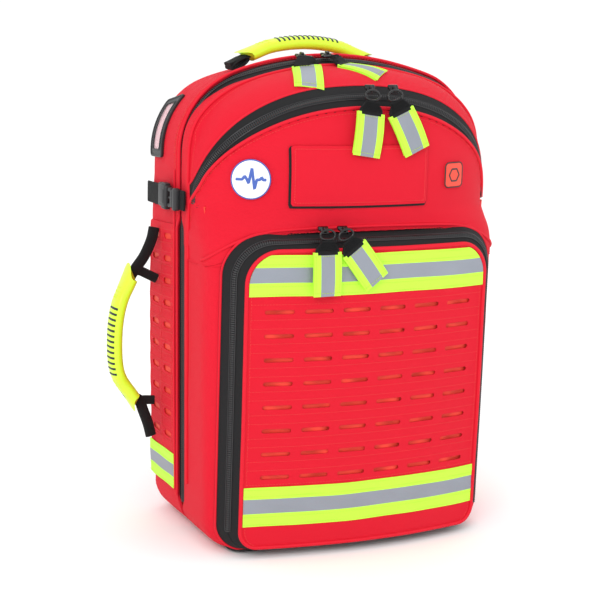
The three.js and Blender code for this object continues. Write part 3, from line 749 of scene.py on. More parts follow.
def fold_creases(grid):
    """Soft folds where the upper pocket sags onto its bottom seam."""
    x, z = grid[..., 0], grid[..., 2]
    low = 1 - smoothstep(z, 352, 400)
    left = 1 - smoothstep(x, -150, -60)
    slanted = 1.1 * left * np.sin((x * 0.55 + z) / 9.0) * smoothstep(z, 322, 345)
    upright = 0.6 * np.sin(x / 17 + 0.9) * smoothstep(z, 350, 360)
    return low * (slanted + upright)


def zip_strip(name, body, w_from, w_to, lift, replaces, low_z=ZIP_END_LOW - 2):
    columns = 6
    rows = []
    for k in range(columns):
        share = k / (columns - 1)

        def offset(turn, share=share):
            a, b = w_from(arch_z(turn)), w_to(arch_z(turn))
            return a + (b - a) * share
        rows.append(arch_path(offset, low_z))
    grid, normals = settle(np.stack(rows, 1), lift)
    return sheet_grid(name, body, grid, normals, 1.0, [TAPE_CLOTH], replaces=replaces)


def upper_zip():
    """The upper zip's two tapes, coil, piping, hem and stitches."""
    zip_strip("upper_lid_tape_cloth", "lid", lambda z: 0.3 + 0 * z, lambda z: lid_edge(z) + 1.5, 0.5,
              ["upper_lid_tape"])
    zip_strip("upper_flap_tape_cloth", "upper_flap",
              lambda z: np.maximum(panel_edge(z) - 1.5, -TAPE_WIDTH - 1.5), lambda z: -0.3 + 0 * z, 0.5,
              ["upper_flap_tape"])
    line, ups = settle(arch_path(0.0, ZIP_END_LOW + 4), 0.7)
    parts = Parts()
    add_coil(parts, line, ups)
    parts.build("upper_zip_coil", "upper_flap", [COIL])
    parts = Parts()
    edge = arch_path(lambda turn: panel_edge(arch_z(turn)) + 0.6, 386)
    line, ups = settle(edge, 1.6)
    even = resample(np.concatenate([line, ups], -1), 420)
    parts.add(*sweep(round_profile(2.0, 1.9, 10), even[:, :3], even[:, 3:]))
    inner = arch_path(lambda turn: panel_edge(arch_z(turn)) - 4.5, 386)
    line, ups = settle(inner, 1.0)
    stitched = Parts()
    add_stitches(stitched, line, ups)
    stitched.build("upper_panel_stitches", "upper_flap", [RED_THREAD])
    parts.build("upper_panel_piping", "upper_flap", [RED_TRIM])
    outer = arch_path(lambda turn: lid_edge(arch_z(turn)) + 0.6, ZIP_END_LOW)
    line, ups = settle(outer, 0.7)
    hem = Parts()
    hem.add(*sweep(round_profile(1.3, 1.0, 8), line, ups))
    hem.build("upper_zip_lid_hem", "lid", [RED_TRIM])


def seam_line(offset=0.0):
    """The upper pocket's bottom seam, from the left side over the lower pocket to the right side."""
    right = [(177, 322), (170, 331), (158, 340), (140, 349), (118, 355.5), (90, 358.5), (50, 360), (0, 360.5)]
    points = [(-x, z) for x, z in right] + [(x, z) for x, z in right[-2::-1]]
    flat = smooth_path(np.array([(x, 0, z + offset) for x, z in points]), 220)
    return np.stack([flat[:, 0], -dome_depth(np.clip(flat[:, 0], -176, 176), flat[:, 2]), flat[:, 2]], -1)


def lid_trim():
    """Piping and stitching on the lid: along its front edge, beside the main zip and on the bottom seam."""
    trim = Parts()
    order = outline_above(60)
    drop = lid_drop(OZ)
    ex, ez = OX - drop * ONX, OZ - drop * ONZ
    path = np.stack([ex, np.full(len(ex), -21.0), ez], -1)[order]
    line, ups = settle(path, 0.6)
    trim.add(*sweep(round_profile(1.9, 1.9, 8), line, ups))
    line, ups = settle(seam_line(), 1.3)
    trim.add(*sweep(round_profile(1.6, 1.5, 8), line, ups))
    for side in (-1, 1):
        down = np.array([(side * 178.0, -24 + 0 * z, z) for z in np.linspace(388, 318, 30)])
        line, ups = settle(down, 1.0)
        trim.add(*sweep(round_profile(1.7, 1.6, 8), line, ups))
    trim.build("lid_piping", "lid", [RED_TRIM])
    threads = Parts()
    for forward, low_z in ((15.5, 60), (27.0, 120)):
        path = np.stack([ex, np.full(len(ex), -forward), ez], -1)[order]
        line, ups = settle(path[OZ[order] > low_z], 0.1)
        add_stitches(threads, line, ups)
    line, ups = settle(seam_line(-4.5), 0.4)
    add_stitches(threads, line, ups)
    threads.build("lid_stitches", "lid", [RED_THREAD])


# ---- Main zip ----
def main_zip():
    """The main zip's two tapes and its closed coil, over the crown from foot to foot."""
    order = outline_above(32)
    drop = lid_drop(OZ)[order]
    nx, nz = ONX[order], ONZ[order]
    x, z = OX[order], OZ[order]

    def line(y):
        sink = 2.6 + drop * np.clip((4 - y) / 16, 0, 1) * 0.85
        return np.stack([x - sink * nx, np.full(len(x), float(y)), z - sink * nz], -1)

    ups = np.stack([nx, -0.35 * smoothstep(z, 505, 530), nz], -1)
    for name, body, ys, node in (("main_zip_rear_tape", "pack", (13, 9, 5, 0.3), "rear_zip_tape"),
                                 ("main_zip_lid_tape", "lid", (-0.3, -5, -9, -13), "lid_zip_tape")):
        grid = np.stack([line(y) for y in ys], 1)
        normals = np.repeat(unit(ups)[:, None], len(ys), 1)
        sheet_grid(name, body, grid, normals, 1.0, [TAPE_CLOTH], replaces=[node])
    parts = Parts()
    add_coil(parts, line(0), unit(ups), half_width=3.0)
    parts.build("main_zip_coil", "lid", [COIL])


# ---- Lower pocket ----
def gusset_grid(k_from, k_to, columns):
    """Points over the lower pocket's side, from share k_from to k_to of its way to the front."""
    rows = []
    outer = lower_ring(0)
    outer_forward = np.minimum(dome_depth(outer[:, 0], outer[:, 1]) + 1.0, LOWER_BASE + 1)
    for k in np.linspace(k_from, k_to, columns):
        ring = lower_ring(GUSSET * k)
        forward = outer_forward * (1 - k) + (lower_depth(ring[:, 0], ring[:, 1]) - 1.5) * k
        forward = forward + 3.2 * np.sin(np.pi * k)
        rows.append(np.stack([ring[:, 0], -forward, ring[:, 1]], -1))
    return np.stack(rows, 1)


def lower_gusset():
    """The lower pocket's side cloth in two halves, with its zip's coil, piping and hem."""
    for name, body, a, b, node in (("lower_lid_tape_cloth", "lid", -0.06, 0.49, "lower_lid_tape"),
                                   ("lower_flap_tape_cloth", "lower_flap", 0.51, 1.04, "lower_flap_tape")):
        grid = gusset_grid(a, b, 8)
        normals = grid_normals(grid, wrap_rows=True, outward=(0, 60, 180))
        sheet_grid(name, body, grid, normals, 1.1, [TAPE_CLOTH], wrap_rows=True, replaces=[node])
    grid = gusset_grid(0.4, 0.6, 3)
    normals = grid_normals(grid, wrap_rows=True, outward=(0, 60, 180))
    line, ups = grid[:, 1], normals[:, 1]
    start = int(np.argmin(np.hypot(line[:, 0] - 120, line[:, 2] - 20)))
    line, ups = np.roll(line, -start, 0), np.roll(ups, -start, 0)
    above = line[:, 2] > 30
    parts = Parts()
    add_coil(parts, line[above] + ups[above] * 0.3, ups[above])
    parts.build("lower_zip_coil", "lower_flap", [COIL])
    trim = Parts()
    ring = lower_ring(GUSSET + 1.0)
    points, normals = on_lower(ring[:, 0], ring[:, 1], 0.2)
    trim.add(*sweep(round_profile(2.3, 2.2, 10), points, normals, closed=True))
    edge = gusset_grid(0.0, 0.02, 2)
    edge_normals = grid_normals(edge, wrap_rows=True, outward=(0, 60, 180))
    trim.build("lower_panel_piping", "lower_flap", [RED_TRIM])
    hem = Parts()
    ups = edge_normals[:, 0]
    hem.add(*sweep(round_profile(1.4, 1.2, 8), edge[:, 0] + ups * 0.4, ups, closed=True))
    hem.build("lower_zip_lid_hem", "lid", [RED_TRIM])


SLOT_WIDTH, SLOT_HEIGHT, SLOT_PITCH_X, SLOT_PITCH_Z = 32.0, 4.6, 43.4, 26.0
SLOT_COLUMNS, SLOT_ROWS, SLOT_TOP = 6, 8, 273.6


def slot_loop(cx, cz, width, height, steps=7):
    radius = height / 2
    right = np.linspace(-math.pi / 2, math.pi / 2, steps)
    left = right + math.pi
    ends = [(cx + width / 2 - radius + radius * math.cos(t), cz + radius * math.sin(t)) for t in right]
    ends += [(cx - width / 2 + radius + radius * math.cos(t), cz + radius * math.sin(t)) for t in left]
    return np.array(ends)


def inside_loop(points, loop):
    x, z = points[:, 0][:, None], points[:, 1][:, None]
    x1, z1 = loop[:, 0][None], loop[:, 1][None]
    x2, z2 = np.roll(loop[:, 0], -1)[None], np.roll(loop[:, 1], -1)[None]
    crosses = ((z1 > z) != (z2 > z)) & (x < (x2 - x1) * (z - z1) / np.where(z2 == z1, 1e-9, z2 - z1) + x1)
    return crosses.sum(1) % 2 == 1


def cut_sheet(outer, holes, spacing):
    """A flat sheet with holes, as points (x, z) and triangles."""
    loops = [resample(outer, step=spacing, closed=True)] + holes
    low, high = outer.min(0), outer.max(0)
    gx, gz = np.meshgrid(np.arange(low[0], high[0], spacing), np.arange(low[1], high[1], spacing))
    inner = np.stack([gx.ravel(), gz.ravel()], -1)
    inner = inner[inside_loop(inner, loops[0])]
    rim = np.concatenate(loops)
    far = np.array([np.min(np.hypot(*(rim - p).T)) > spacing * 0.45 for p in inner])
    inner = inner[far]
    for hole in holes:
        inner = inner[~inside_loop(inner, hole)]
    points, edges = [], []
    for loop in loops:
        first = len(points)
        points += [Vector(p) for p in loop]
        edges += [(first + i, first + (i + 1) % len(loop)) for i in range(len(loop))]
    points += [Vector(p) for p in inner]
    verts, _, faces, *_ = delaunay_2d_cdt(points, edges, [], 0, 1e-5)
    flat = np.array([tuple(v) for v in verts])
    middles = np.array([flat[list(f)].mean(0) for f in faces])
    good = inside_loop(middles, loops[0])
    for hole in holes:
        good &= ~inside_loop(middles, hole)
    kept = []
    for face, keep in zip(faces, good):
        if keep:
            a, b, c = flat[list(face)]
            turned = (b[0] - a[0]) * (c[1] - a[1]) - (b[1] - a[1]) * (c[0] - a[0]) < 0
            kept.append(tuple(reversed(face)) if turned else tuple(face))
    return flat, kept


def slot_centres():
    for row in range(SLOT_ROWS):
        for column in range(SLOT_COLUMNS):
            yield (column - (SLOT_COLUMNS - 1) / 2) * SLOT_PITCH_X, SLOT_TOP - row * SLOT_PITCH_Z, row, column


def lower_panel():
    """The lower pocket's slotted red panel, with the lining behind it."""
    holes = [slot_loop(x, z, SLOT_WIDTH, SLOT_HEIGHT) for x, z, _, _ in slot_centres()]
    outer = lower_ring(GUSSET - 0.5)
    flat, faces = cut_sheet(outer, holes, 5.0)
    lips = np.zeros(len(flat))
    for x, z, row, column in slot_centres():
        near = np.exp(-((flat[:, 0] - x) / 13) ** 2 - ((flat[:, 1] - z) / 5) ** 2)
        lips += near * (0.5 + 0.4 * math.sin(row * 2.3 + column * 1.7)) * np.sign(flat[:, 1] - z + 0.01)
    points, normals = on_lower(flat[:, 0], flat[:, 1], 0.9 * lips)
    points, closed = slab(points, normals, faces, 1.3)
    piece("lower_panel_cloth", "lower_flap", points, closed, [RED], replaces=["lower_panel"])
    rows, columns = 150, 90
    gx, gz = np.meshgrid(np.linspace(-134, 134, columns), np.linspace(40, 322, rows))
    sag = 1.3 * np.sin(gx / 7.3 + 2.2 * np.sin(gz / 31)) * np.sin(gz / 9.0 + gx / 29)
    sag = sag + 0.5 * np.sin(gx / 3.9 + gz / 13)
    lining, lining_normals = on_lower(gx, gz, -2.9 + 0.9 * sag)
    sheet_grid("lower_lining_cloth", "lower_flap", lining, lining_normals, 0.8, [LINING],
               replaces=["lower_lining"])


def lower_row_stitches():
    threads = Parts()
    for row in range(SLOT_ROWS):
        z = SLOT_TOP - row * SLOT_PITCH_Z
        for offset in (-8.2, 8.2):
            x = np.linspace(-138, 138, 120)
            points, normals = on_lower(x, np.full_like(x, z + offset), 0.05)
            add_stitches(threads, points, normals, pitch=3.3, length=2.2, radius=0.3)
    ring = lower_ring(GUSSET + 6)
    points, normals = on_lower(ring[:, 0], ring[:, 1], 0.05)
    add_stitches(threads, points, normals)
    threads.build("lower_panel_stitches", "lower_flap", [RED_THREAD])


def band_limit(z, inset):
    """Half the lower pocket's width at a height, at an inset."""
    half, top, bottom, r_top, r_bottom = lower_limits(inset)
    over = np.clip(z - (top - r_top), 0, r_top)
    under = np.clip((bottom + r_bottom) - z, 0, r_bottom)
    return half - (r_top - np.sqrt(r_top**2 - over**2)) - (r_bottom - np.sqrt(r_bottom**2 - under**2))


def stripe_rows(low, silver, high, counts):
    """A band's rows of points, and which of the rows between them lie in its silver stripe."""
    rows = np.concatenate([np.linspace(low, silver[0], counts[0]), np.linspace(*silver, counts[1])[1:],
                           np.linspace(silver[1], high, counts[2])[1:]])
    middles = (rows[1:] + rows[:-1]) / 2
    return rows, ((middles > silver[0]) & (middles < silver[1])).astype(int)


def hi_vis_band(name, low, high, node):
    """A band of fluorescent tape with a silver stripe, across the lower pocket."""
    silver = (low + (high - low) * 0.33, low + (high - low) * 0.70)
    rows, stripe = stripe_rows(low, silver, high, (6, 7, 9))
    across = np.linspace(-1, 1, 120)
    gx = across[None] * band_limit(rows, GUSSET + 3.4)[:, None]
    gz = np.repeat(rows[:, None], len(across), 1) + 0.35 * np.sin(gx / 23)
    lift = 0.9 + 0.35 * np.sin(gx / 11 + gz / 6) * np.sin(gz / 8)
    grid, normals = on_lower(gx, gz, lift)
    slots = np.repeat(stripe, len(across) - 1)
    sheet_grid(name, "lower_flap", grid, normals, 0.7, [YELLOW, SILVER], slots=slots, replaces=[node])
    threads = Parts()
    for z in (low + 2.2, silver[0] - 3.5, silver[1] + 3.5, high - 2.2):
        x = np.linspace(-1, 1, 120) * (band_limit(np.array(z), GUSSET + 5))
        points, normals = on_lower(x, np.full_like(x, z), 1.0)
        add_stitches(threads, points, normals, pitch=3.4, length=2.2, radius=0.28)
    threads.build(name + "_stitches", "lower_flap", [YELLOW_THREAD])


# ---- What is sewn on the upper pocket ----
def patch_on_dome(name, loop, lift, thickness, material, node, spacing=4.0, edge_round=0.0):
    """A patch with a closed outline, lying on the upper pocket, with its edge turned down by edge_round."""
    flat, faces = cut_sheet(loop, [], spacing)
    start = np.stack([flat[:, 0], -dome_depth(flat[:, 0], flat[:, 1]), flat[:, 1]], -1)
    points, normals = settle(start, lift)
    if edge_round:
        rim = resample(loop, step=2.0, closed=True)
        near = np.array([np.min(np.hypot(*(rim - p).T)) for p in flat])
        points = points - normals * (edge_round * (1 - smoothstep(near, 0, 2.2)))[:, None]
    points, closed = slab(points, normals, faces, thickness)
    return piece(name, "upper_flap", points, closed, [material], replaces=[node])


def rounded_loop(left, right, low, high, radius, steps=8):
    out = []
    for cx, cz, start in ((right - radius, low + radius, -90), (right - radius, high - radius, 0),
                          (left + radius, high - radius, 90), (left + radius, low + radius, 180)):
        for turn in np.radians(np.linspace(start, start + 90, steps)):
            out.append((cx + radius * math.cos(turn), cz + radius * math.sin(turn)))
    return np.array(out)


def dome_line(loop, lift, closed=True, step=2.0):
    line = resample(loop, step=step, closed=closed)
    start = np.stack([line[:, 0], -dome_depth(line[:, 0], line[:, 1]), line[:, 1]], -1)
    return settle(start, lift)


def id_panel():
    patch_on_dome("id_panel_backing", rounded_loop(-93.5, 68, 381, 446.5, 2), 2.0, 1.2, TAPE_CLOTH,
                  "id_backing")
    patch_on_dome("id_panel_cloth", rounded_loop(-91, 67.5, 383.5, 447, 1.5), 3.9, 1.6, RED, "id_panel",
                  edge_round=0.9)
    line, ups = dome_line(rounded_loop(-87.5, 64, 387, 443.5, 1.5), 3.95)
    threads = Parts()
    add_stitches(threads, line, ups, pitch=3.0, length=2.1)
    threads.build("id_panel_stitches", "upper_flap", [RED_THREAD])


def tangent_frame(x, z):
    """A place on the dome with its across, up and outward directions."""
    spot, normal = settle(np.array([[x, -float(dome_depth(x, z)), z]]))
    spot, normal = spot[0], normal[0]
    across = unit(np.cross((0, 0, 1), normal))
    return spot, -across if across[0] < 0 else across, unit(np.cross(normal, across)), normal


def badge():
    """A stiff round white badge with a blue rim and a plain heartbeat line."""
    spot, across, up, normal = tangent_frame(-131.0, 411.0)
    up = up if up[2] > 0 else -up

    def on_badge(flat, lift):
        flat = np.asarray(flat, float)
        bend = -np.sum(flat**2, -1) / 420
        return spot + flat[:, :1] * across + flat[:, 1:] * up + (lift + bend)[:, None] * normal

    radius, rings, steps = 20.6, [0, 5, 10, 15, 18.5, 20, 20.6], 64
    turn = np.linspace(0, 2 * math.pi, steps, endpoint=False)
    grid = np.stack([on_badge(np.stack([r * np.cos(turn), r * np.sin(turn)], -1),
                              np.full(steps, 4.2 - 0.9 * max(0, (r - 18) / 2.6) ** 2)) for r in rings[1:]], 1)
    sheet_grid("badge_disc", "upper_flap", grid, np.broadcast_to(normal, grid.shape), 2.2, [WHITE],
               wrap_rows=True, replaces=["badge"])
    centre = Parts()
    hub = on_badge(np.stack([5.2 * np.cos(turn), 5.2 * np.sin(turn)], -1), np.full(steps, 4.19))
    faces = [tuple(range(steps)), tuple(range(2 * steps - 1, steps - 1, -1))]
    faces += [(i, (i + 1) % steps, steps + (i + 1) % steps, steps + i) for i in range(steps)]
    centre.add(np.concatenate([hub, hub - normal]), faces)
    centre.build("badge_middle", "upper_flap", [WHITE])
    rim = Parts()
    line = on_badge(np.stack([radius * np.cos(turn), radius * np.sin(turn)], -1), np.full(steps, 3.0))
    rim.add(*sweep(round_profile(0.8, 1.1, 8), line, np.broadcast_to(normal, line.shape), closed=True))
    beat = [(-16, 0), (-9, 0), (-6.5, 3.5), (-4, 0), (-2.2, -4), (1.0, 12), (4.2, -10), (6.4, 0), (9.5, 0),
            (11.5, 2.6), (13, 0), (16.5, 0)]
    path = resample(np.array(beat, float), step=0.9)
    line = on_badge(path, np.full(len(path), 4.35))
    rim.add(*sweep(round_profile(1.5, 0.3, 6, 4.0), line, np.broadcast_to(normal, line.shape)))
    rim.build("badge_print", "upper_flap", [BLUE])


def maker_patch():
    """A small rubber patch with a dark edge and a plain ring."""
    patch_on_dome("rubber_patch", rounded_loop(94, 120.5, 398.5, 426, 5), 2.6, 1.8, PATCH, "maker_patch",
                  spacing=2.5, edge_round=0.8)
    marks = Parts()
    line, ups = dome_line(rounded_loop(94.3, 120.2, 398.8, 425.7, 4.8), 2.0, step=1.2)
    marks.add(*sweep(round_profile(0.75, 0.8, 6), line, ups, closed=True))
    turn = np.radians(np.arange(0, 360, 60))
    hexagon = np.stack([107.3 + 7.5 * np.cos(turn), 412.2 + 7.5 * np.sin(turn)], -1)
    line, ups = dome_line(hexagon, 2.7, step=1.0)
    marks.add(*sweep(round_profile(0.9, 0.5, 6), line, ups, closed=True))
    marks.build("rubber_patch_marks", "upper_flap", [BLACK_PLASTIC])


# ---- Rear shell ----
BELLY, BELLY_DEPTH, BELLY_LOW, BELLY_HEIGHT = 3.0, 70.0, 20.0, 400.0


def side_swell(y, z):
    """How far the rear shell's side swells out: from nothing at the main zip, and most at mid height."""
    upright = np.sin(np.pi * np.clip((z - BELLY_LOW) / BELLY_HEIGHT, 0, 1))
    return BELLY * np.sin(np.pi / 2 * np.clip(y / BELLY_DEPTH, 0, 1)) * upright


def shell_drop(y, z):
    """How far the rear shell's outline sinks towards its back, in proportion to height."""
    return SHELL_DROP * np.sin(np.pi / 2 * np.clip(y, 0, None) / SHELL_DEPTH) * z / CROWN_Z


def rear_path(x, z, nx, nz, inset_by=0.0, front=None):
    """One line of the rear shell from the main zip over the rear edge to the middle of its back."""
    gap = main_gap(z) if front is None else front
    points = [(x - (3 + inset_by) * nx, gap + 2.5, z - (3 + inset_by) * nz),
              (x - (0.8 + inset_by) * nx, gap + 0.3, z - (0.8 + inset_by) * nz),
              (x - inset_by * nx, gap + 1.6, z - inset_by * nz)]
    for y in (15, 30, 45, 60, 74, SHELL_DEPTH - SHELL_EDGE_RADIUS - 2):
        out = side_swell(y, z) - inset_by
        points.append((x + out * nx, y, z + out * nz))
    for step in range(1, 7):
        turn = step / 6 * math.pi / 2
        inset = SHELL_EDGE_RADIUS * (1 - math.cos(turn)) + inset_by - side_swell(BELLY_DEPTH, z)
        y = SHELL_DEPTH - inset_by - SHELL_EDGE_RADIUS * (1 - math.sin(turn))
        points.append((x - inset * nx, y, z - inset * nz))
    ex, _, ez = points[-1]
    for share in (0.8, 0.6, 0.4, 0.2, 0.002):
        points.append((ex * share, SHELL_DEPTH - inset_by, 270 + (ez - 270) * share))
    points = np.array(points)
    points[:, 2] -= shell_drop(points[:, 1], points[:, 2])
    points[:, 2] = np.maximum(points[:, 2], FOOT_Z - 0.4)
    return points


def rear_shell():
    grid = np.stack([resample(rear_path(*row), 64) for row in OUTLINE])
    grid[:, 3:] = relax(grid.copy(), 3)[:, 3:]
    normals = grid_normals(grid, wrap_rows=True, outward=(0, 55, 270))
    lift = folds(grid[..., 0], grid[..., 1], grid[..., 2]) * smoothstep(grid[..., 1], 10, 35)
    lift = lift - 0.9 * np.exp(-((grid[..., 1] - 88) / 2.2) ** 2)
    grid = grid + normals * lift[..., None]
    sheet_grid("rear_shell_cloth", "pack", grid, normals, 2.2, [RED], wrap_rows=True, replaces=["rear_shell"])
    inner = np.stack([resample(rear_path(*row, inset_by=5.0, front=2.0), 40) for row in OUTLINE[::2]])
    inner_normals = grid_normals(inner, wrap_rows=True, outward=(0, 55, 270))
    sheet_grid("rear_shell_lining", "pack", inner, inner_normals, 0.8, [LINING], wrap_rows=True)
    trim = Parts()
    order = outline_above(36)
    ups = np.stack([ONX, 0 * ONX, ONZ], -1)[order]

    def line(y, lift):
        path = np.stack([OX + lift * ONX, y + 0 * OX, OZ + lift * ONZ - shell_drop(y, OZ)], -1)
        return path[order]

    gap = main_gap(OZ)[order]
    edge = line(0, 0.6)
    edge[:, 1] = gap + 1.6
    trim.add(*sweep(round_profile(1.9, 1.9, 8), edge, ups))
    for y in (12.5, 88.5):
        trim.add(*sweep(round_profile(1.5, 1.3, 8), line(y, 0.1 if y < 50 else -6.2), ups))
    trim.build("rear_shell_piping", "pack", [RED_TRIM])
    threads = Parts()
    for y in (9.0, 16.5, 19.5):
        add_stitches(threads, line(y, 0.35), ups)
    threads.build("rear_shell_stitches", "pack", [RED_THREAD])


def base_panel():
    """A coated black base sewn under the shells, and the same under the lid."""
    for name, body, low_y, high_y, nodes in (("base_cloth", "pack", 4, 88, ["base_board"]),
                                             ("lid_base_cloth", "lid", -96, -4, [])):
        half_y = (high_y - low_y) / 2
        loop = rounded_loop(-146, 146, low_y, high_y, 16)
        flat, faces = cut_sheet(loop, [], 9.0)
        puff = 1.2 * smoothstep(half_y - np.abs(flat[:, 1] - (low_y + high_y) / 2), 0, 16)
        points = np.stack([flat[:, 0], flat[:, 1], 3.2 - puff], -1)
        normals = np.tile([[0.0, 0.0, -1.0]], (len(points), 1))
        points, closed = slab(points, normals, faces, 2.0)
        piece(name, body, points, closed, [BASE], replaces=nodes)


# ---- Inside the lid ----
WALL_FORWARD, WALL_CLEAR, WALL_INSET, WALL_LOW = 51.0, 7.0, 8.0, 12.0


def wall_outline(x, z):
    """The outline point x, z pulled in to where the pockets' back wall meets the lid."""
    q = (WALL_FORWARD + WALL_CLEAR - DOME_BASE) / DOME_REACH
    rise = np.clip((z - DOME_Z) / DOME_HEIGHT, 0, 0.995)
    room = np.maximum(1 - rise ** RISE_POWER - q ** DOME_POWER, 0)
    top = DOME_Z + DOME_HEIGHT * (1 - q ** DOME_POWER) ** (1 / RISE_POWER)
    half = np.minimum(DOME_HALF * room ** (1 / DOME_POWER), np.abs(x)) - WALL_INSET
    inner_z = np.clip(z, WALL_LOW, top - 3)
    return np.sign(x) * np.where(z > DOME_Z, np.maximum(half, 0), np.abs(x) - WALL_INSET), inner_z


def lid_inside():
    """The wall behind the lid's two pockets, the lining round it and the floor between the pockets."""
    x, z = wall_outline(OX, OZ)
    flat, faces = cut_sheet(resample(np.stack([x, z], -1), 260, closed=True), [], 9.0)
    sag = 0.8 * np.sin(flat[:, 0] / 31) * np.sin(flat[:, 1] / 43)
    points = np.stack([flat[:, 0], sag - WALL_FORWARD, flat[:, 1]], -1)
    points, closed = slab(points, np.tile([[0.0, -1.0, 0.0]], (len(points), 1)), faces, 1.4)
    piece("lid_pocket_wall", "lid", points, closed, [LINING])
    drop = lid_drop(OZ)
    rows = []
    for forward in np.linspace(4, WALL_FORWARD, 9):
        share = smoothstep(forward, 16, WALL_FORWARD)
        side_x, side_z = OX - (5 + drop) * ONX, OZ - (5 + drop) * ONZ
        rows.append(np.stack([side_x * (1 - share) + x * share, np.full(len(OX), -forward),
                              side_z * (1 - share) + z * share], -1))
    grid = np.stack(rows, 1)
    normals = grid_normals(grid, wrap_rows=True, outward=(0, -20, 270))
    sheet_grid("lid_lining", "lid", grid, normals, 0.8, [LINING], wrap_rows=True)
    fx = np.linspace(-156, 156, 60)
    front = np.minimum(dome_depth(fx, np.full(60, 352.0)), LOWER_BASE) - 6
    floor_rows = [WALL_FORWARD + (front - WALL_FORWARD) * s for s in np.linspace(0, 1, 8)]
    floor_grid = np.stack([np.stack([fx, -forward, np.full(60, 350.5)], -1) for forward in floor_rows], 1)
    up = np.broadcast_to(np.array([0.0, 0.0, 1.0]), floor_grid.shape)
    sheet_grid("pocket_floor", "lid", floor_grid, up, 1.2, [LINING])


# ---- Side panels ----
SIDE_FRONT, SIDE_BACK, SIDE_LOW, SIDE_HIGH = 15.0, 88.0, 44.0, 352.0
SIDE_SLOT_WIDTH, SIDE_SLOT_HEIGHT, SIDE_ROWS, SIDE_TOP, SIDE_PITCH = 21.0, 7.0, 10, 337.0, 25.6
SIDE_COLUMNS = (33.0, 68.0)


def side_place(side, y, z, lift=0.0):
    """A point over the bag's side, and its outward normal."""
    y, z = np.broadcast_arrays(np.asarray(y, float), np.asarray(z, float))
    low = np.clip((z - 34) / (SHOULDER_Z - 34), 0, 1)
    x = FOOT_HALF_WIDTH + (HALF_WIDTH - FOOT_HALF_WIDTH) * low
    x = x + 1.0 + side_swell(y, z) + np.asarray(lift)
    points = np.stack([side * x, y, z - shell_drop(y, z)], -1)
    normals = np.broadcast_to(np.array([side, 0.0, 0.0]), points.shape)
    return points, normals


def side_panel(word, side):
    """A slotted side panel with its lining, stitches and hem."""
    holes = [slot_loop(y, SIDE_TOP - row * SIDE_PITCH, SIDE_SLOT_WIDTH, SIDE_SLOT_HEIGHT, 4)
             for row in range(SIDE_ROWS) for y in SIDE_COLUMNS]
    flat, faces = cut_sheet(rounded_loop(SIDE_FRONT, SIDE_BACK, SIDE_LOW, SIDE_HIGH, 2), holes, 5.0)
    points, normals = side_place(side, flat[:, 0], flat[:, 1], 1.3 + 0.25 * np.sin(flat[:, 1] / 4.1))
    points, closed = slab(points, normals, faces, 1.0)
    piece(f"side_panel_{word}_cloth", "pack", points, closed, [RED], replaces=[f"side_panel_{word}"])
    gy, gz = np.meshgrid(np.linspace(20, 80, 40), np.linspace(92, 346, 120))
    sag = 0.5 * np.sin(gz / 5.1 + gy / 9)
    lining, lining_normals = side_place(side, gy, gz, -0.2 + sag * 0.4)
    sheet_grid(f"side_lining_{word}", "pack", lining, lining_normals, 0.6, [LINING])
    threads = Parts()
    for row in range(SIDE_ROWS):
        for offset in (-7.5, 7.5):
            y = np.linspace(SIDE_FRONT + 4, SIDE_BACK - 3, 30)
            line, ups = side_place(side, y, np.full(30, SIDE_TOP - row * SIDE_PITCH + offset), 1.5)
            add_stitches(threads, line, ups, pitch=3.2, length=2.2, radius=0.3)
    for y in (17.5, 20.5, 50.5, 84.5):
        z = np.linspace(SIDE_LOW + 4, SIDE_HIGH - 3, 160)
        line, ups = side_place(side, np.full(160, y), z, 1.5)
        add_stitches(threads, line, ups, pitch=3.2, length=2.2, radius=0.3)
    threads.build(f"side_stitches_{word}", "pack", [RED_THREAD])
    hem = Parts()
    z = np.linspace(SIDE_LOW, SIDE_HIGH + 60, 90)
    line, ups = side_place(side, np.full(90, SIDE_FRONT - 0.5), z, 1.0)
    hem.add(*sweep(round_profile(1.7, 1.2, 8), line, ups))
    hem.build(f"side_hem_{word}", "pack", [RED_TRIM])


def side_band(word, side):
    low, high = 46.0, 87.0
    silver = (low + 13.5, low + 28.5)
    z, stripe = stripe_rows(low, silver, high, (5, 6, 5))
    y = np.linspace(SIDE_FRONT - 1, SIDE_BACK + 2, 40)
    gy, gz = np.meshgrid(y, z)
    grid, normals = side_place(side, gy, gz, 2.6 + 0.3 * np.sin(gy / 9 + gz / 7))
    slots = np.repeat(stripe, len(y) - 1)
    sheet_grid(f"side_band_{word}_tape", "pack", grid, normals, 0.8, [YELLOW, SILVER], slots=slots,
               replaces=[f"side_band_{word}"])
    threads = Parts()
    for z0 in (low + 2.2, silver[0] - 2.5, silver[1] + 2.5, high - 2.2):
        line, ups = side_place(side, y, np.full(len(y), z0), 2.9)
        add_stitches(threads, line, ups, pitch=3.4, length=2.2, radius=0.28)
    threads.build(f"side_band_{word}_stitches", "pack", [YELLOW_THREAD])


# ---- Straps, buckles and small hardware ----
def rounded_box(parts, low, high, radius, slot=0, matrix=None):
    """A box with rounded edges."""
    work = bmesh.new()
    bmesh.ops.create_cube(work, size=1.0)
    low, high = np.asarray(low, float), np.asarray(high, float)
    for vert in work.verts:
        vert.co = Vector((low + high) / 2 + np.array(vert.co) * (high - low))
    bmesh.ops.bevel(work, geom=work.edges[:], offset=radius, segments=3, profile=0.5, affect="EDGES")
    work.verts.ensure_lookup_table()
    points = np.array([tuple(v.co) for v in work.verts])
    if matrix is not None:
        points = points @ np.asarray(matrix)[:3, :3].T + np.asarray(matrix)[:3, 3]
    parts.add(points, [tuple(v.index for v in f.verts) for f in work.faces], slot)
    work.free()


def webbing(parts, path, ups, width, thick=2.2, slot=0):
    """A flat woven strap along a path."""
    profile = round_profile(width / 2, thick / 2, 12, 6.0)
    parts.add(*sweep(profile, path, ups), slot)


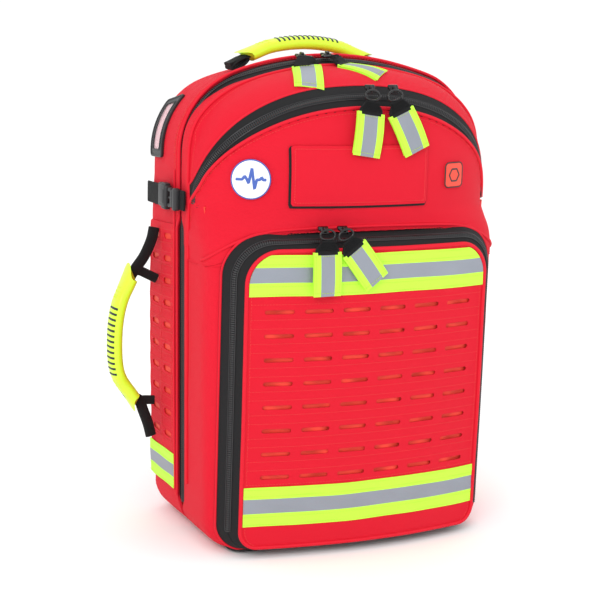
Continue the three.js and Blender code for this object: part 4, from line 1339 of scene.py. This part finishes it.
def compression_strap(word, side):
    """Side-release buckle: a socket on the shell's strap and a pronged half on the lid's."""
    z = 381.0
    socket = Parts()
    y = np.linspace(92, 34, 24)
    line, ups = side_place(side, y, np.full(24, z + 3), 3.2)
    webbing(socket, line, ups, 24)
    line, ups = side_place(side, np.linspace(60, 36, 10), np.full(10, z + 3), 5.6)
    webbing(socket, line, ups, 24)
    low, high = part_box(f"strap_socket_{word}")
    inner = min(abs(low.x), abs(high.x)) / MM

    def block(parts, out_low, out_high, y_low, y_high, z_low, z_high, radius, slot):
        xs = sorted((side * (inner + out_low), side * (inner + out_high)))
        rounded_box(parts, (xs[0], y_low, z_low), (xs[1], y_high, z_high), radius, slot)

    block(socket, 0.5, 10, 13, 34, z - 12.5, z + 12.5, 2.6, 1)
    block(socket, 0.5, 7.5, 33, 42, z - 13, z + 13, 2.2, 1)
    block(socket, 8.5, 10.8, 16, 30, z - 8, z + 8, 1.0, 1)
    for edge in (-1, 1):
        block(socket, 2.0, 8.5, 15, 28, z + edge * 13.3 - 1.2, z + edge * 13.3 + 1.2, 1.0, 1)
    socket.build(f"strap_socket_{word}_buckle", "pack", [WEB, BLACK_PLASTIC],
                 replaces=[f"strap_socket_{word}"])
    prong = Parts()
    y = np.linspace(-24, -8, 16)
    lift = 3.0 + 0.8 * np.sin(np.linspace(0, 3, 16))
    line = np.stack([np.full(16, side * (inner - 1.2)) + side * (lift - 1.5), y, np.full(16, z)], -1)
    webbing(prong, line, np.tile([[side, 0.0, 0.0]], (16, 1)), 22)
    block(prong, 0.6, 8.5, -13, -5, z - 12.3, z + 12.3, 2.2, 1)
    block(prong, 1.0, 8.0, -5, 3.5, z - 9.5, z + 9.5, 2.0, 1)
    for edge in (-1, 1):
        block(prong, 2.0, 7.5, 2, 11.4, z + edge * 8.5 - 2.2, z + edge * 8.5 + 2.2, 1.4, 1)
    block(prong, 2.2, 7.0, 2, 10.5, z - 1.4, z + 1.4, 1.0, 1)
    prong.build(f"strap_prong_{word}_buckle", "lid", [WEB, BLACK_PLASTIC], replaces=[f"strap_prong_{word}"])


# ---- Card holder on the left shoulder ----
ARC = np.concatenate([[0.0], np.cumsum(np.hypot(np.diff(OX), np.diff(OZ)))])
HOLDER_LOW, HOLDER_HIGH, HOLDER_FRONT, HOLDER_BACK = 917.0, 850.0, 54.0, 90.0


def on_shoulder(arc, y, lift):
    """A point over the rear shell: arc runs along the outline, y backward."""
    arc, y = np.broadcast_arrays(np.asarray(arc, float), np.asarray(y, float))
    x, z, nx, nz = (np.interp(arc, ARC, column) for column in (OX, OZ, ONX, ONZ))
    back = np.clip((y - SHELL_DEPTH + SHELL_EDGE_RADIUS) / SHELL_EDGE_RADIUS, 0, 0.98)
    out = side_swell(y, z) + lift - SHELL_EDGE_RADIUS * (1 - np.sqrt(1 - back**2))
    normals = unit(np.stack([nx, 0.5 * back, nz], -1))
    return np.stack([x + out * nx, y, z + out * nz - shell_drop(y, z)], -1), normals


def card_holder():
    """A stitched black frame with a clear window and a card, curving over the shoulder."""
    def loop(inset, radius):
        return rounded_loop(HOLDER_FRONT + inset, HOLDER_BACK - inset,
                            HOLDER_HIGH + inset, HOLDER_LOW - inset, radius)

    def lean(flat):
        share = (HOLDER_LOW - flat[:, 1]) / (HOLDER_LOW - HOLDER_HIGH)
        return flat[:, 1] - 0.30 * (HOLDER_BACK - flat[:, 0]) * share, flat[:, 0] + 2.0 * share

    flat, faces = cut_sheet(loop(0, 4.0), [loop(8.5, 2.0)], 4.0)
    arc, y = lean(flat)
    points, normals = on_shoulder(arc, y, 2.6)
    points, closed = slab(points, normals, faces, 2.2)
    piece("card_holder_frame", "pack", points, closed, [BLACK_PLASTIC], replaces=["card_frame"])
    for name, lift, thick, material, node in (("card_holder_window", 1.9, 0.4, FILM, "card_window"),
                                              ("card_holder_card", 1.2, 0.5, CARD, "id_card")):
        flat, faces = cut_sheet(loop(7.5, 2.0), [], 4.0)
        arc, y = lean(flat)
        points, normals = on_shoulder(arc, y, lift)
        points, closed = slab(points, normals, faces, thick)
        piece(name, "pack", points, closed, [material], replaces=[node])
    rim = Parts()
    for inset, radius in ((1.2, 1.3), (7.6, 1.0)):
        outline = resample(loop(inset, 3.0), step=2.0, closed=True)
        arc, y = lean(outline)
        line, ups = on_shoulder(arc, y, 2.7)
        rim.add(*sweep(round_profile(radius, 0.8, 8), line, ups, closed=True))
    rim.build("card_holder_rim", "pack", [BLACK_PLASTIC])


# ---- Handles ----
GRIP_HALF_WIDTH, GRIP_HALF_HEIGHT, GRIP_POWER, GRIP_SIDES, GRIP_DASHES = 13.0, 7.6, 2.6, 20, 13


def grip_shape(parts, path, ups, lean):
    """A moulded grip: flattened oval with a ridge, fishtail ends, black dashes and dimples."""
    count = len(path)
    t = np.linspace(0, 1, count)
    turn = np.arange(GRIP_SIDES) * 2 * math.pi / GRIP_SIDES
    base = round_profile(GRIP_HALF_WIDTH, GRIP_HALF_HEIGHT, GRIP_SIDES, GRIP_POWER)
    flare = 1 + 0.10 * np.abs(2 * t - 1) ** 6
    waist = 1 - 0.10 * np.exp(-((np.abs(2 * t - 1) - 0.72) / 0.12) ** 2)
    points, faces = sweep(base, path, ups, scales=np.stack([flare * waist, np.ones(count)], -1))
    grid = points.reshape(count, GRIP_SIDES, 3)
    forward = directions(path)
    for row, sign in ((0, -1), (count - 1, 1)):
        outer = np.clip(np.sin(turn), 0, 1)
        grid[row] += forward[row] * sign * (16 * outer[:, None] ** 2)
        near = row + 1 if row == 0 else row - 1
        grid[near] += forward[near] * sign * (5 * outer[:, None] ** 2)
    parts.add(grid.reshape(-1, 3), faces, 0)
    side = unit(np.cross(forward, ups))
    for share in np.linspace(0.25, 0.75, GRIP_DASHES):
        i = share * (count - 1)
        k = int(i)
        mix = i - k
        p = path[k] * (1 - mix) + path[min(k + 1, count - 1)] * mix
        u, s = ups[k], side[k]
        around = np.radians(90 - lean * np.linspace(-8, 62, 7))[:, None]
        round_by = 2 / GRIP_POWER
        dash = p + 12.9 * s * np.sign(np.cos(around)) * np.abs(np.cos(around)) ** round_by
        dash = dash + 7.5 * u * np.abs(np.sin(around)) ** round_by
        parts.add(*sweep(round_profile(1.4, 0.9, 8), dash, unit(dash - p)), 1)
    for end in (0.1, 0.13, 0.16, 0.19, 0.81, 0.84, 0.87, 0.9):
        k = int(end * (count - 1))
        for across in (-0.75, -0.35, 0.0, 0.35, 0.75):
            height = GRIP_HALF_HEIGHT * (1 - abs(across) ** GRIP_POWER) ** (1 / GRIP_POWER)
            centre = path[k] + side[k] * 11.0 * across + ups[k] * height
            ring = np.array([centre + side[k] * 0.9 * math.cos(a) + forward[k] * 0.9 * math.sin(a)
                             for a in np.linspace(0, 2 * math.pi, 8, endpoint=False)])
            parts.add(*sweep(round_profile(0.28, 0.28, 5), ring, ups[k], closed=True), 0)


def top_handle():
    """The carrying grip on top, its webbing, and the webbing's two folded loops."""
    def at(x, z):
        return (x, 45.0, z)
    arch = [at(-84, 534.5), at(-56, 544.5), at(-18, 548.5), at(20, 545), at(52, 534)]
    whole = smooth_path([at(-110, 523)] + arch + [at(72, 526)], 60)
    parts = Parts()
    grip_path = smooth_path(arch, 64)
    ups = transported_ups(grip_path, (0, 0, 1))
    grip_shape(parts, grip_path, ups, 1)
    parts.build("top_grip_moulding", "top_handle", [GRIP, BLACK_PLASTIC], replaces=["top_grip"])
    strap = Parts()
    webbing(strap, whole, transported_ups(whole, (-0.4, 0, 0.9)), 19, 4.5)
    for x, z, tilt in ((-98, 525, 0.55), (68, 527, -0.5)):
        fold = np.array([(x + 11 * math.cos(a) * math.cos(tilt) - 3.5 * math.sin(a) * math.sin(tilt), 45,
                          z + 11 * math.cos(a) * math.sin(tilt) + 3.5 * math.sin(a) * math.cos(tilt))
                         for a in np.linspace(0, 2 * math.pi, 24, endpoint=False)])
        out = unit(fold - np.array((x, 45, z)))
        strap.add(*sweep(round_profile(11.5, 1.6, 10, 4.0), fold, out, closed=True))
    strap.build("top_handle_webbing", "top_handle", [WEB], replaces=["top_webbing"])


def side_handle():
    """The grip on the left side and the four cords that hold it."""
    def at(outward, z):
        return (-outward, 60.0, z)
    arch = [at(216, 283), at(229, 250), at(233, 212), at(229, 174), at(211, 145)]
    parts = Parts()
    grip_path = smooth_path(arch, 64)
    grip_shape(parts, grip_path, transported_ups(grip_path, (-1, 0, 0.4)), -1)
    parts.build("side_grip_moulding", "side_handle", [GRIP, BLACK_PLASTIC], replaces=["side_grip"])
    cords = Parts()
    runs = [[at(188, 340), at(191, 326), at(199, 308), at(209, 294), at(216, 283), at(222, 266)],
            [at(184, 281), at(194, 286), at(205, 291), at(213, 289), at(218, 276)],
            [at(223, 160), at(213, 146), at(203, 140), at(198, 128), at(192, 112), at(188, 97)],
            [at(218, 152), at(208, 141), at(196, 140), at(185, 139)]]
    for run, thick in zip(runs, (5.2, 4.2, 5.2, 4.2)):
        path = smooth_path(run, 44)
        ups = transported_ups(path, (0, 1, 0))
        cords.add(*sweep(round_profile(thick + 1.2, thick * 0.72, 12, 2.6), path, ups))
    cords.build("side_handle_webbing", "side_handle", [WEB], replaces=["side_webbing"])


# ---- Zip sliders and pulls ----
# Each pull's tilt forward and lean sideways, and its slider's tilt forward, in radians.
PULL_TURNS = {
    "main_left": (-1.5, 0.35, -1.5), "main_right": (-1.5, -0.75, -1.5),
    "upper_left": (-0.12, 0.15, -0.6), "upper_right": (-0.12, -0.42, -0.6),
    "lower_left": (-0.05, 0.0, -0.95), "lower_right": (-0.03, -0.65, -0.95),
}
# How far each slider and pull is moved from its joint's pivot, to lie on the stuffed cloth.
PULL_SHIFTS = {
    "main_left": (0, -1, -4.5), "main_right": (0, -1, -5), "upper_left": (0, 3, 2), "upper_right": (0, 3, 3),
    "lower_left": (0, 0, 3), "lower_right": (0, 0, 3),
}
TAB_END = 61.0


def turned(tilt, lean, origin):
    return Matrix.Translation(origin) @ Matrix.Rotation(tilt, 4, "X") @ Matrix.Rotation(lean, 4, "Y")


def hi_vis_tab(parts, place, bow, wave, drape=None):
    """Webbing neck and a two-layer fluorescent tab, hanging down from the slider's ring."""
    def along(x, y, down):
        u = np.clip((down - 14) / 48, 0, 1)
        out = -bow * np.sin(math.pi * u * 0.9) + wave * np.sin(x / 7 + down / 11) * u
        points = np.stack(np.broadcast_arrays(x, y + out, -np.asarray(down, float)), -1)
        flat = points.reshape(-1, 3) @ np.asarray(place)[:3, :3].T + np.asarray(place)[:3, 3]
        if drape is not None:
            flat = drape(flat, points.reshape(-1, 3))
        return flat.reshape(points.shape)

    for layer, (front, back) in enumerate(((-1.7, -0.5), (0.5, 1.5))):
        half, start, end = 16.0, 14.0, TAB_END - layer * 2.0
        x = np.linspace(-half, half, 17)
        down = np.linspace(start, end, 26)
        gx, gd = np.meshgrid(x, down)
        thick_front = front - 0.25 * np.abs(np.sin(gx / 16 * math.pi))
        face = along(gx, thick_front, gd)
        rear = along(gx, np.full_like(gx, back), gd)
        normals = unit(face - rear)
        middles = (x[1:] + x[:-1]) / 2
        stripe = (np.abs(middles) < 8.2).astype(int) + 1
        slots = np.tile(stripe, len(down) - 1)
        faces = [tuple(f) for f in grid_faces(*gx.shape)]
        points, closed = slab(face, normals, faces, 1.1)
        rest = [1] * (len(closed) - 2 * len(faces))
        parts.add(points, closed, 0)
        slots = list(slots) + list(slots) + rest
        parts.slots[-len(closed):] = slots
    for edge in (18.0, TAB_END - 3.5):
        x = np.linspace(-14.5, 14.5, 40)
        line = along(x, np.full(40, -2.1), np.full(40, edge))
        back = along(x, np.full(40, 0.0), np.full(40, edge))
        add_stitches(parts, line, unit(line - back), pitch=2.8, length=2.0, radius=0.28, slot=3)
    for x_line in (-13.8, 13.8):
        down = np.linspace(19, TAB_END - 4, 50)
        line = along(np.full(50, x_line), np.full(50, -2.0), down)
        back = along(np.full(50, x_line), np.full(50, 0.0), down)
        add_stitches(parts, line, unit(line - back), pitch=2.8, length=2.0, radius=0.25, slot=3)
    down = np.linspace(1.5, 17, 12)
    width = 7.5 + 6.5 * smoothstep(down, 2, 12)
    path = along(np.zeros(12), np.full(12, -0.2), down)
    lifted = along(np.zeros(12), np.full(12, -1.2), down)
    scales = np.stack([width / 10, np.ones(12)], -1)
    parts.add(*sweep(round_profile(10, 1.9, 14, 5.0), path, unit(lifted - path), scales=scales), 0)
    for row in (4.5, 8.0, 11.5):
        count = 17
        x = np.linspace(-7.5 - row * 0.35, 7.5 + row * 0.35, count)
        zig = along(x, np.full(count, -2.3), row + 1.3 * np.where(np.arange(count) % 2, 1, -1))
        parts.add(*sweep(round_profile(0.4, 0.35, 5), zig, unit(lifted[5] - path[5])), 0)


def add_slider(parts, place, slot=0):
    """A slider's body, its wider nose and its bridge."""
    rounded_box(parts, (-4.6, -2.3, 6.5), (4.6, 0.6, 17), 1.1, slot, place)
    rounded_box(parts, (-6.0, -2.6, 12), (6.0, 0.8, 17.5), 1.3, slot, place)
    rounded_box(parts, (-1.6, -5.0, 7.2), (1.6, -1.5, 14.5), 1.0, slot, place)


def add_ring(parts, place, slot=0):
    turn = np.linspace(0, 2 * math.pi, 28, endpoint=False)
    across = 8.6 * np.cos(turn) * (1 - 0.12 * np.sin(turn))
    ring = np.stack([across, -0.4 + 0 * turn, 4.6 + 5.4 * np.sin(turn)], -1)
    ring = ring @ np.asarray(place)[:3, :3].T + np.asarray(place)[:3, 3]
    out = np.asarray(place)[:3, :3] @ np.array((0, -1, 0))
    parts.add(*sweep(round_profile(1.25, 1.25, 8), ring, out, closed=True), slot)


def lid_top(x, y):
    """Height of the lid's top at a place near its crown."""
    hit = LID_TREE.ray_cast(Vector((float(x), float(y), 700.0)), Vector((0, 0, -1)))
    return hit[0].z if hit[0] is not None else 520.0


def drape_on_lid(flat, local):
    out = flat.copy()
    for i, p in enumerate(out):
        y = min(p[1], -9.0)
        ease = float(smoothstep(-local[i, 2], 4, 16))
        rest = lid_top(p[0], y) + 1.2 - local[i, 1] * 0.9
        out[i, 2] = p[2] * (1 - ease) + rest * ease
    return out


def zip_pulls():
    """Every zip's slider, and its pull with ring and tab, placed from the joint that swings the pull."""
    joints = {joint["name"]: joint for joint in frame["joints"]}
    for name, (tilt, lean, slider_tilt) in PULL_TURNS.items():
        pivot = np.array(joints[f"{name}_swing"]["pos_m"]) / MM + np.array(PULL_SHIFTS[name])
        slider = Parts()
        add_slider(slider, turned(slider_tilt, 0, pivot))
        slider.build(f"{name}_slider_metal", f"{name}_slider", [BLACK_METAL], replaces=[f"slider_{name}"])
        pull = Parts()
        bow, wave = {"upper": (2.5, 0.7), "lower": (1.5, 0.5), "main": (0.0, 0.0)}[name.split("_")[0]]
        drape = drape_on_lid if name.startswith("main") else None
        place = turned(tilt, lean, pivot)
        hi_vis_tab(pull, place, bow, wave, drape)
        add_ring(pull, turned(tilt, lean * 0.5, pivot), 4)
        pull.build(f"{name}_pull_tab", f"{name}_pull", [WEB, YELLOW, SILVER, YELLOW_THREAD, BLACK_METAL],
                   replaces=[f"pull_{name}"])


# ---- Back: pads, shoulder straps, sternum strap ----
def stuffed(name, node, body, material, voxel=5.0, pressure=4.0, cap=9.0, shrink=0.96):
    """A pad swollen by a cloth simulation from its CAD solid."""
    source = frame["nodes"][node]
    mesh = source.data.copy()
    mesh.materials.clear()
    mesh.materials.append(material)
    obj = bpy.data.objects.new(name, mesh)
    bpy.context.collection.objects.link(obj)
    co = np.array([v.co for v in mesh.vertices])
    middle = (co.min(0) + co.max(0)) / 2
    mesh.vertices.foreach_set("co", ((co - middle) * shrink + middle).astype(np.float32).ravel())
    remesh = obj.modifiers.new("remesh", "REMESH")
    remesh.mode = "VOXEL"
    remesh.voxel_size = voxel * MM
    apply_modifiers(obj)
    start = np.array([v.co for v in obj.data.vertices])
    cloth_modifier = obj.modifiers.new("cloth", "CLOTH")
    settings = cloth_modifier.settings
    settings.use_pressure = True
    settings.uniform_pressure_force = pressure
    settings.effector_weights.gravity = 0
    settings.quality = 5
    cloth_modifier.point_cache.frame_start, cloth_modifier.point_cache.frame_end = 1, 14
    scene = bpy.context.scene
    for number in range(1, 15):
        scene.frame_set(number)
    graph = bpy.context.evaluated_depsgraph_get()
    swollen = np.array([v.co for v in obj.evaluated_get(graph).data.vertices])
    obj.modifiers.clear()
    scene.frame_set(1)
    move = swollen - start
    length = np.linalg.norm(move, axis=1, keepdims=True)
    move *= np.minimum(1, cap * MM / np.maximum(length, 1e-9))
    obj.data.vertices.foreach_set("co", (start + move).astype(np.float32).ravel())
    smooth = obj.modifiers.new("smooth", "SUBSURF")
    smooth.levels = smooth.render_levels = 1
    apply_modifiers(obj)
    obj.data.polygons.foreach_set("use_smooth", [True] * len(obj.data.polygons))
    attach(obj, body)
    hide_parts(node)
    return obj


def apply_modifiers(obj):
    graph = bpy.context.evaluated_depsgraph_get()
    result = bpy.data.meshes.new_from_object(obj.evaluated_get(graph))
    obj.modifiers.clear()
    obj.data = result


def node_box(name):
    """A CAD node's lowest and highest corner."""
    return (np.array(v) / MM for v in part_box(name))


def ladder_lock(word):
    """A ladder lock's four sides and the bar that grips the webbing."""
    lock = Parts()
    low, high = node_box(f"ladder_lock_{word}")
    mid = (low + high) / 2
    rounded_box(lock, (low[0], low[1], high[2] - 7), high, 2)
    rounded_box(lock, low, (high[0], high[1], low[2] + 6), 2)
    for x0, x1 in ((low[0], low[0] + 5), (high[0] - 5, high[0])):
        rounded_box(lock, (x0, low[1], low[2]), (x1, high[1], high[2]), 2)
    rounded_box(lock, (low[0] + 3, mid[1] - 1.5, mid[2] - 3), (high[0] - 3, mid[1] + 1.5, mid[2] + 3), 1.2)
    lock.build(f"ladder_lock_{word}_buckle", f"shoulder_{word}", [BLACK_PLASTIC],
               replaces=[f"ladder_lock_{word}"])


def adjuster_webbing(word):
    """The webbing from the pack's foot up to the ladder lock."""
    low, high = node_box(f"adjuster_webbing_{word}")
    x = (low[0] + high[0]) / 2
    strap = Parts()
    run = [(101, 30), (110, 29), (118, 36), (120, 60), (119.5, 100), (120, 132)]
    path = smooth_path([(x, y, z) for y, z in run], 40)
    webbing(strap, path, transported_ups(path, (0, 0, -1)), 24)
    strap.build(f"adjuster_webbing_{word}_strap", "pack", [WEB], replaces=[f"adjuster_webbing_{word}"])


def shoulder_webbing(word, side):
    """The webbing sewn along the shoulder pad's outside."""
    pad_line = [(58, 131, 478), (66, 161, 453), (78, 180.5, 400), (90, 183.0, 330), (98, 176, 250),
                (104, 158, 182), (108, 139, 146), (108, 130, 128)]
    strap = Parts()
    path = smooth_path([(side * x, y, z) for x, y, z in pad_line], 70)
    webbing(strap, path, transported_ups(path, (0, 1, 0.6)), 25, 1.8)
    strap.build(f"shoulder_webbing_{word}", f"shoulder_{word}", [WEB])


def sternum_strap(word, side):
    """Half of the sternum strap, with its half of the clip."""
    low, high = node_box(f"sternum_strap_{word}")
    belt = Parts()
    y = (low[1] + high[1]) / 2
    sag = 1.2 * np.sin(np.linspace(0, 3.1, 24))
    path = np.stack([np.linspace(side * 6, side * 72, 24), y + sag, np.full(24, 360.0)], -1)
    webbing(belt, path, (0, 1, 0), 20)
    for near, far, inset, z_low, z_high, radius in ((4.2, 26, 0.4, 349, 371, 2.4),
                                                    (26, 32, 1.5, 350, 370, 1.8)):
        xs = sorted((side * near, side * far))
        rounded_box(belt, (xs[0], low[1] + inset, z_low), (xs[1], high[1] - inset, z_high), radius, 1)
    belt.build(f"sternum_strap_{word}_belt", f"shoulder_{word}", [WEB, BLACK_PLASTIC],
               replaces=[f"sternum_strap_{word}"])


def back_of_pack():
    for node, body in (("lumbar_pad", "pack"), ("back_pad_left", "pack"), ("back_pad_right", "pack"),
                       ("shoulder_pad_left", "shoulder_left"), ("shoulder_pad_right", "shoulder_right")):
        stuffed(node + "_cushion", node, body, MESH, cap=5.0 if "shoulder" in node else 7.0)
    for word, side in (("left", -1), ("right", 1)):
        ladder_lock(word)
        adjuster_webbing(word)
        shoulder_webbing(word, side)
        sternum_strap(word, side)


def keep_with_material(node, material):
    obj = frame["nodes"][node]
    obj.data.materials.clear()
    obj.data.materials.append(material)
    bevel = obj.modifiers.new("soft_edges", "BEVEL")
    bevel.width = 0.0006
    bevel.segments = 2
    bevel.limit_method = "ANGLE"


# ---- Everything in place ----
make_camera()
lid_cloth()
upper_panel()
upper_zip()
lid_trim()
main_zip()
lower_gusset()
lower_panel()
lower_row_stitches()
hi_vis_band("lower_band_top_tape", 290.5, 334.5, "lower_band_top")
hi_vis_band("lower_band_bottom_tape", 36.5, 80.5, "lower_band_bottom")
id_panel()
badge()
maker_patch()
rear_shell()
base_panel()
lid_inside()
for side_word, side_sign in (("left", -1), ("right", 1)):
    side_panel(side_word, side_sign)
    side_band(side_word, side_sign)
    compression_strap(side_word, side_sign)
card_holder()
top_handle()
side_handle()
zip_pulls()
back_of_pack()
keep_with_material("inner_divider", LINING)
keep_with_material("frame_sheet", BOARD)

floor_mesh = bpy.data.meshes.new("floor")
floor_mesh.from_pydata([(-6, -6, 0), (6, -6, 0), (6, 6, 0), (-6, 6, 0)], [], [(0, 1, 2, 3)])
floor = bpy.data.objects.new("floor", floor_mesh)
bpy.context.collection.objects.link(floor)
floor_mesh.materials.append(new_material("floor_paper", (0.98, 0.98, 0.98), 0.95, specular=0.0))
world = bpy.data.worlds.new("studio")
world.use_nodes = True
world.node_tree.nodes["Background"].inputs[0].default_value = (1, 1, 1, 1)
world.node_tree.nodes["Background"].inputs[1].default_value = 1.05
bpy.context.scene.world = world
area_light("key", (-1.9, -2.2, 1.9), (0, 0, 0.3), 1.3, 34)
area_light("fill", (2.2, -1.6, 1.2), (0, 0, 0.25), 2.0, 8)
area_light("top", (0.2, 0.6, 2.8), (0, 0, 0.3), 2.0, 9)
bpy.context.scene.view_settings.view_transform = "Standard"
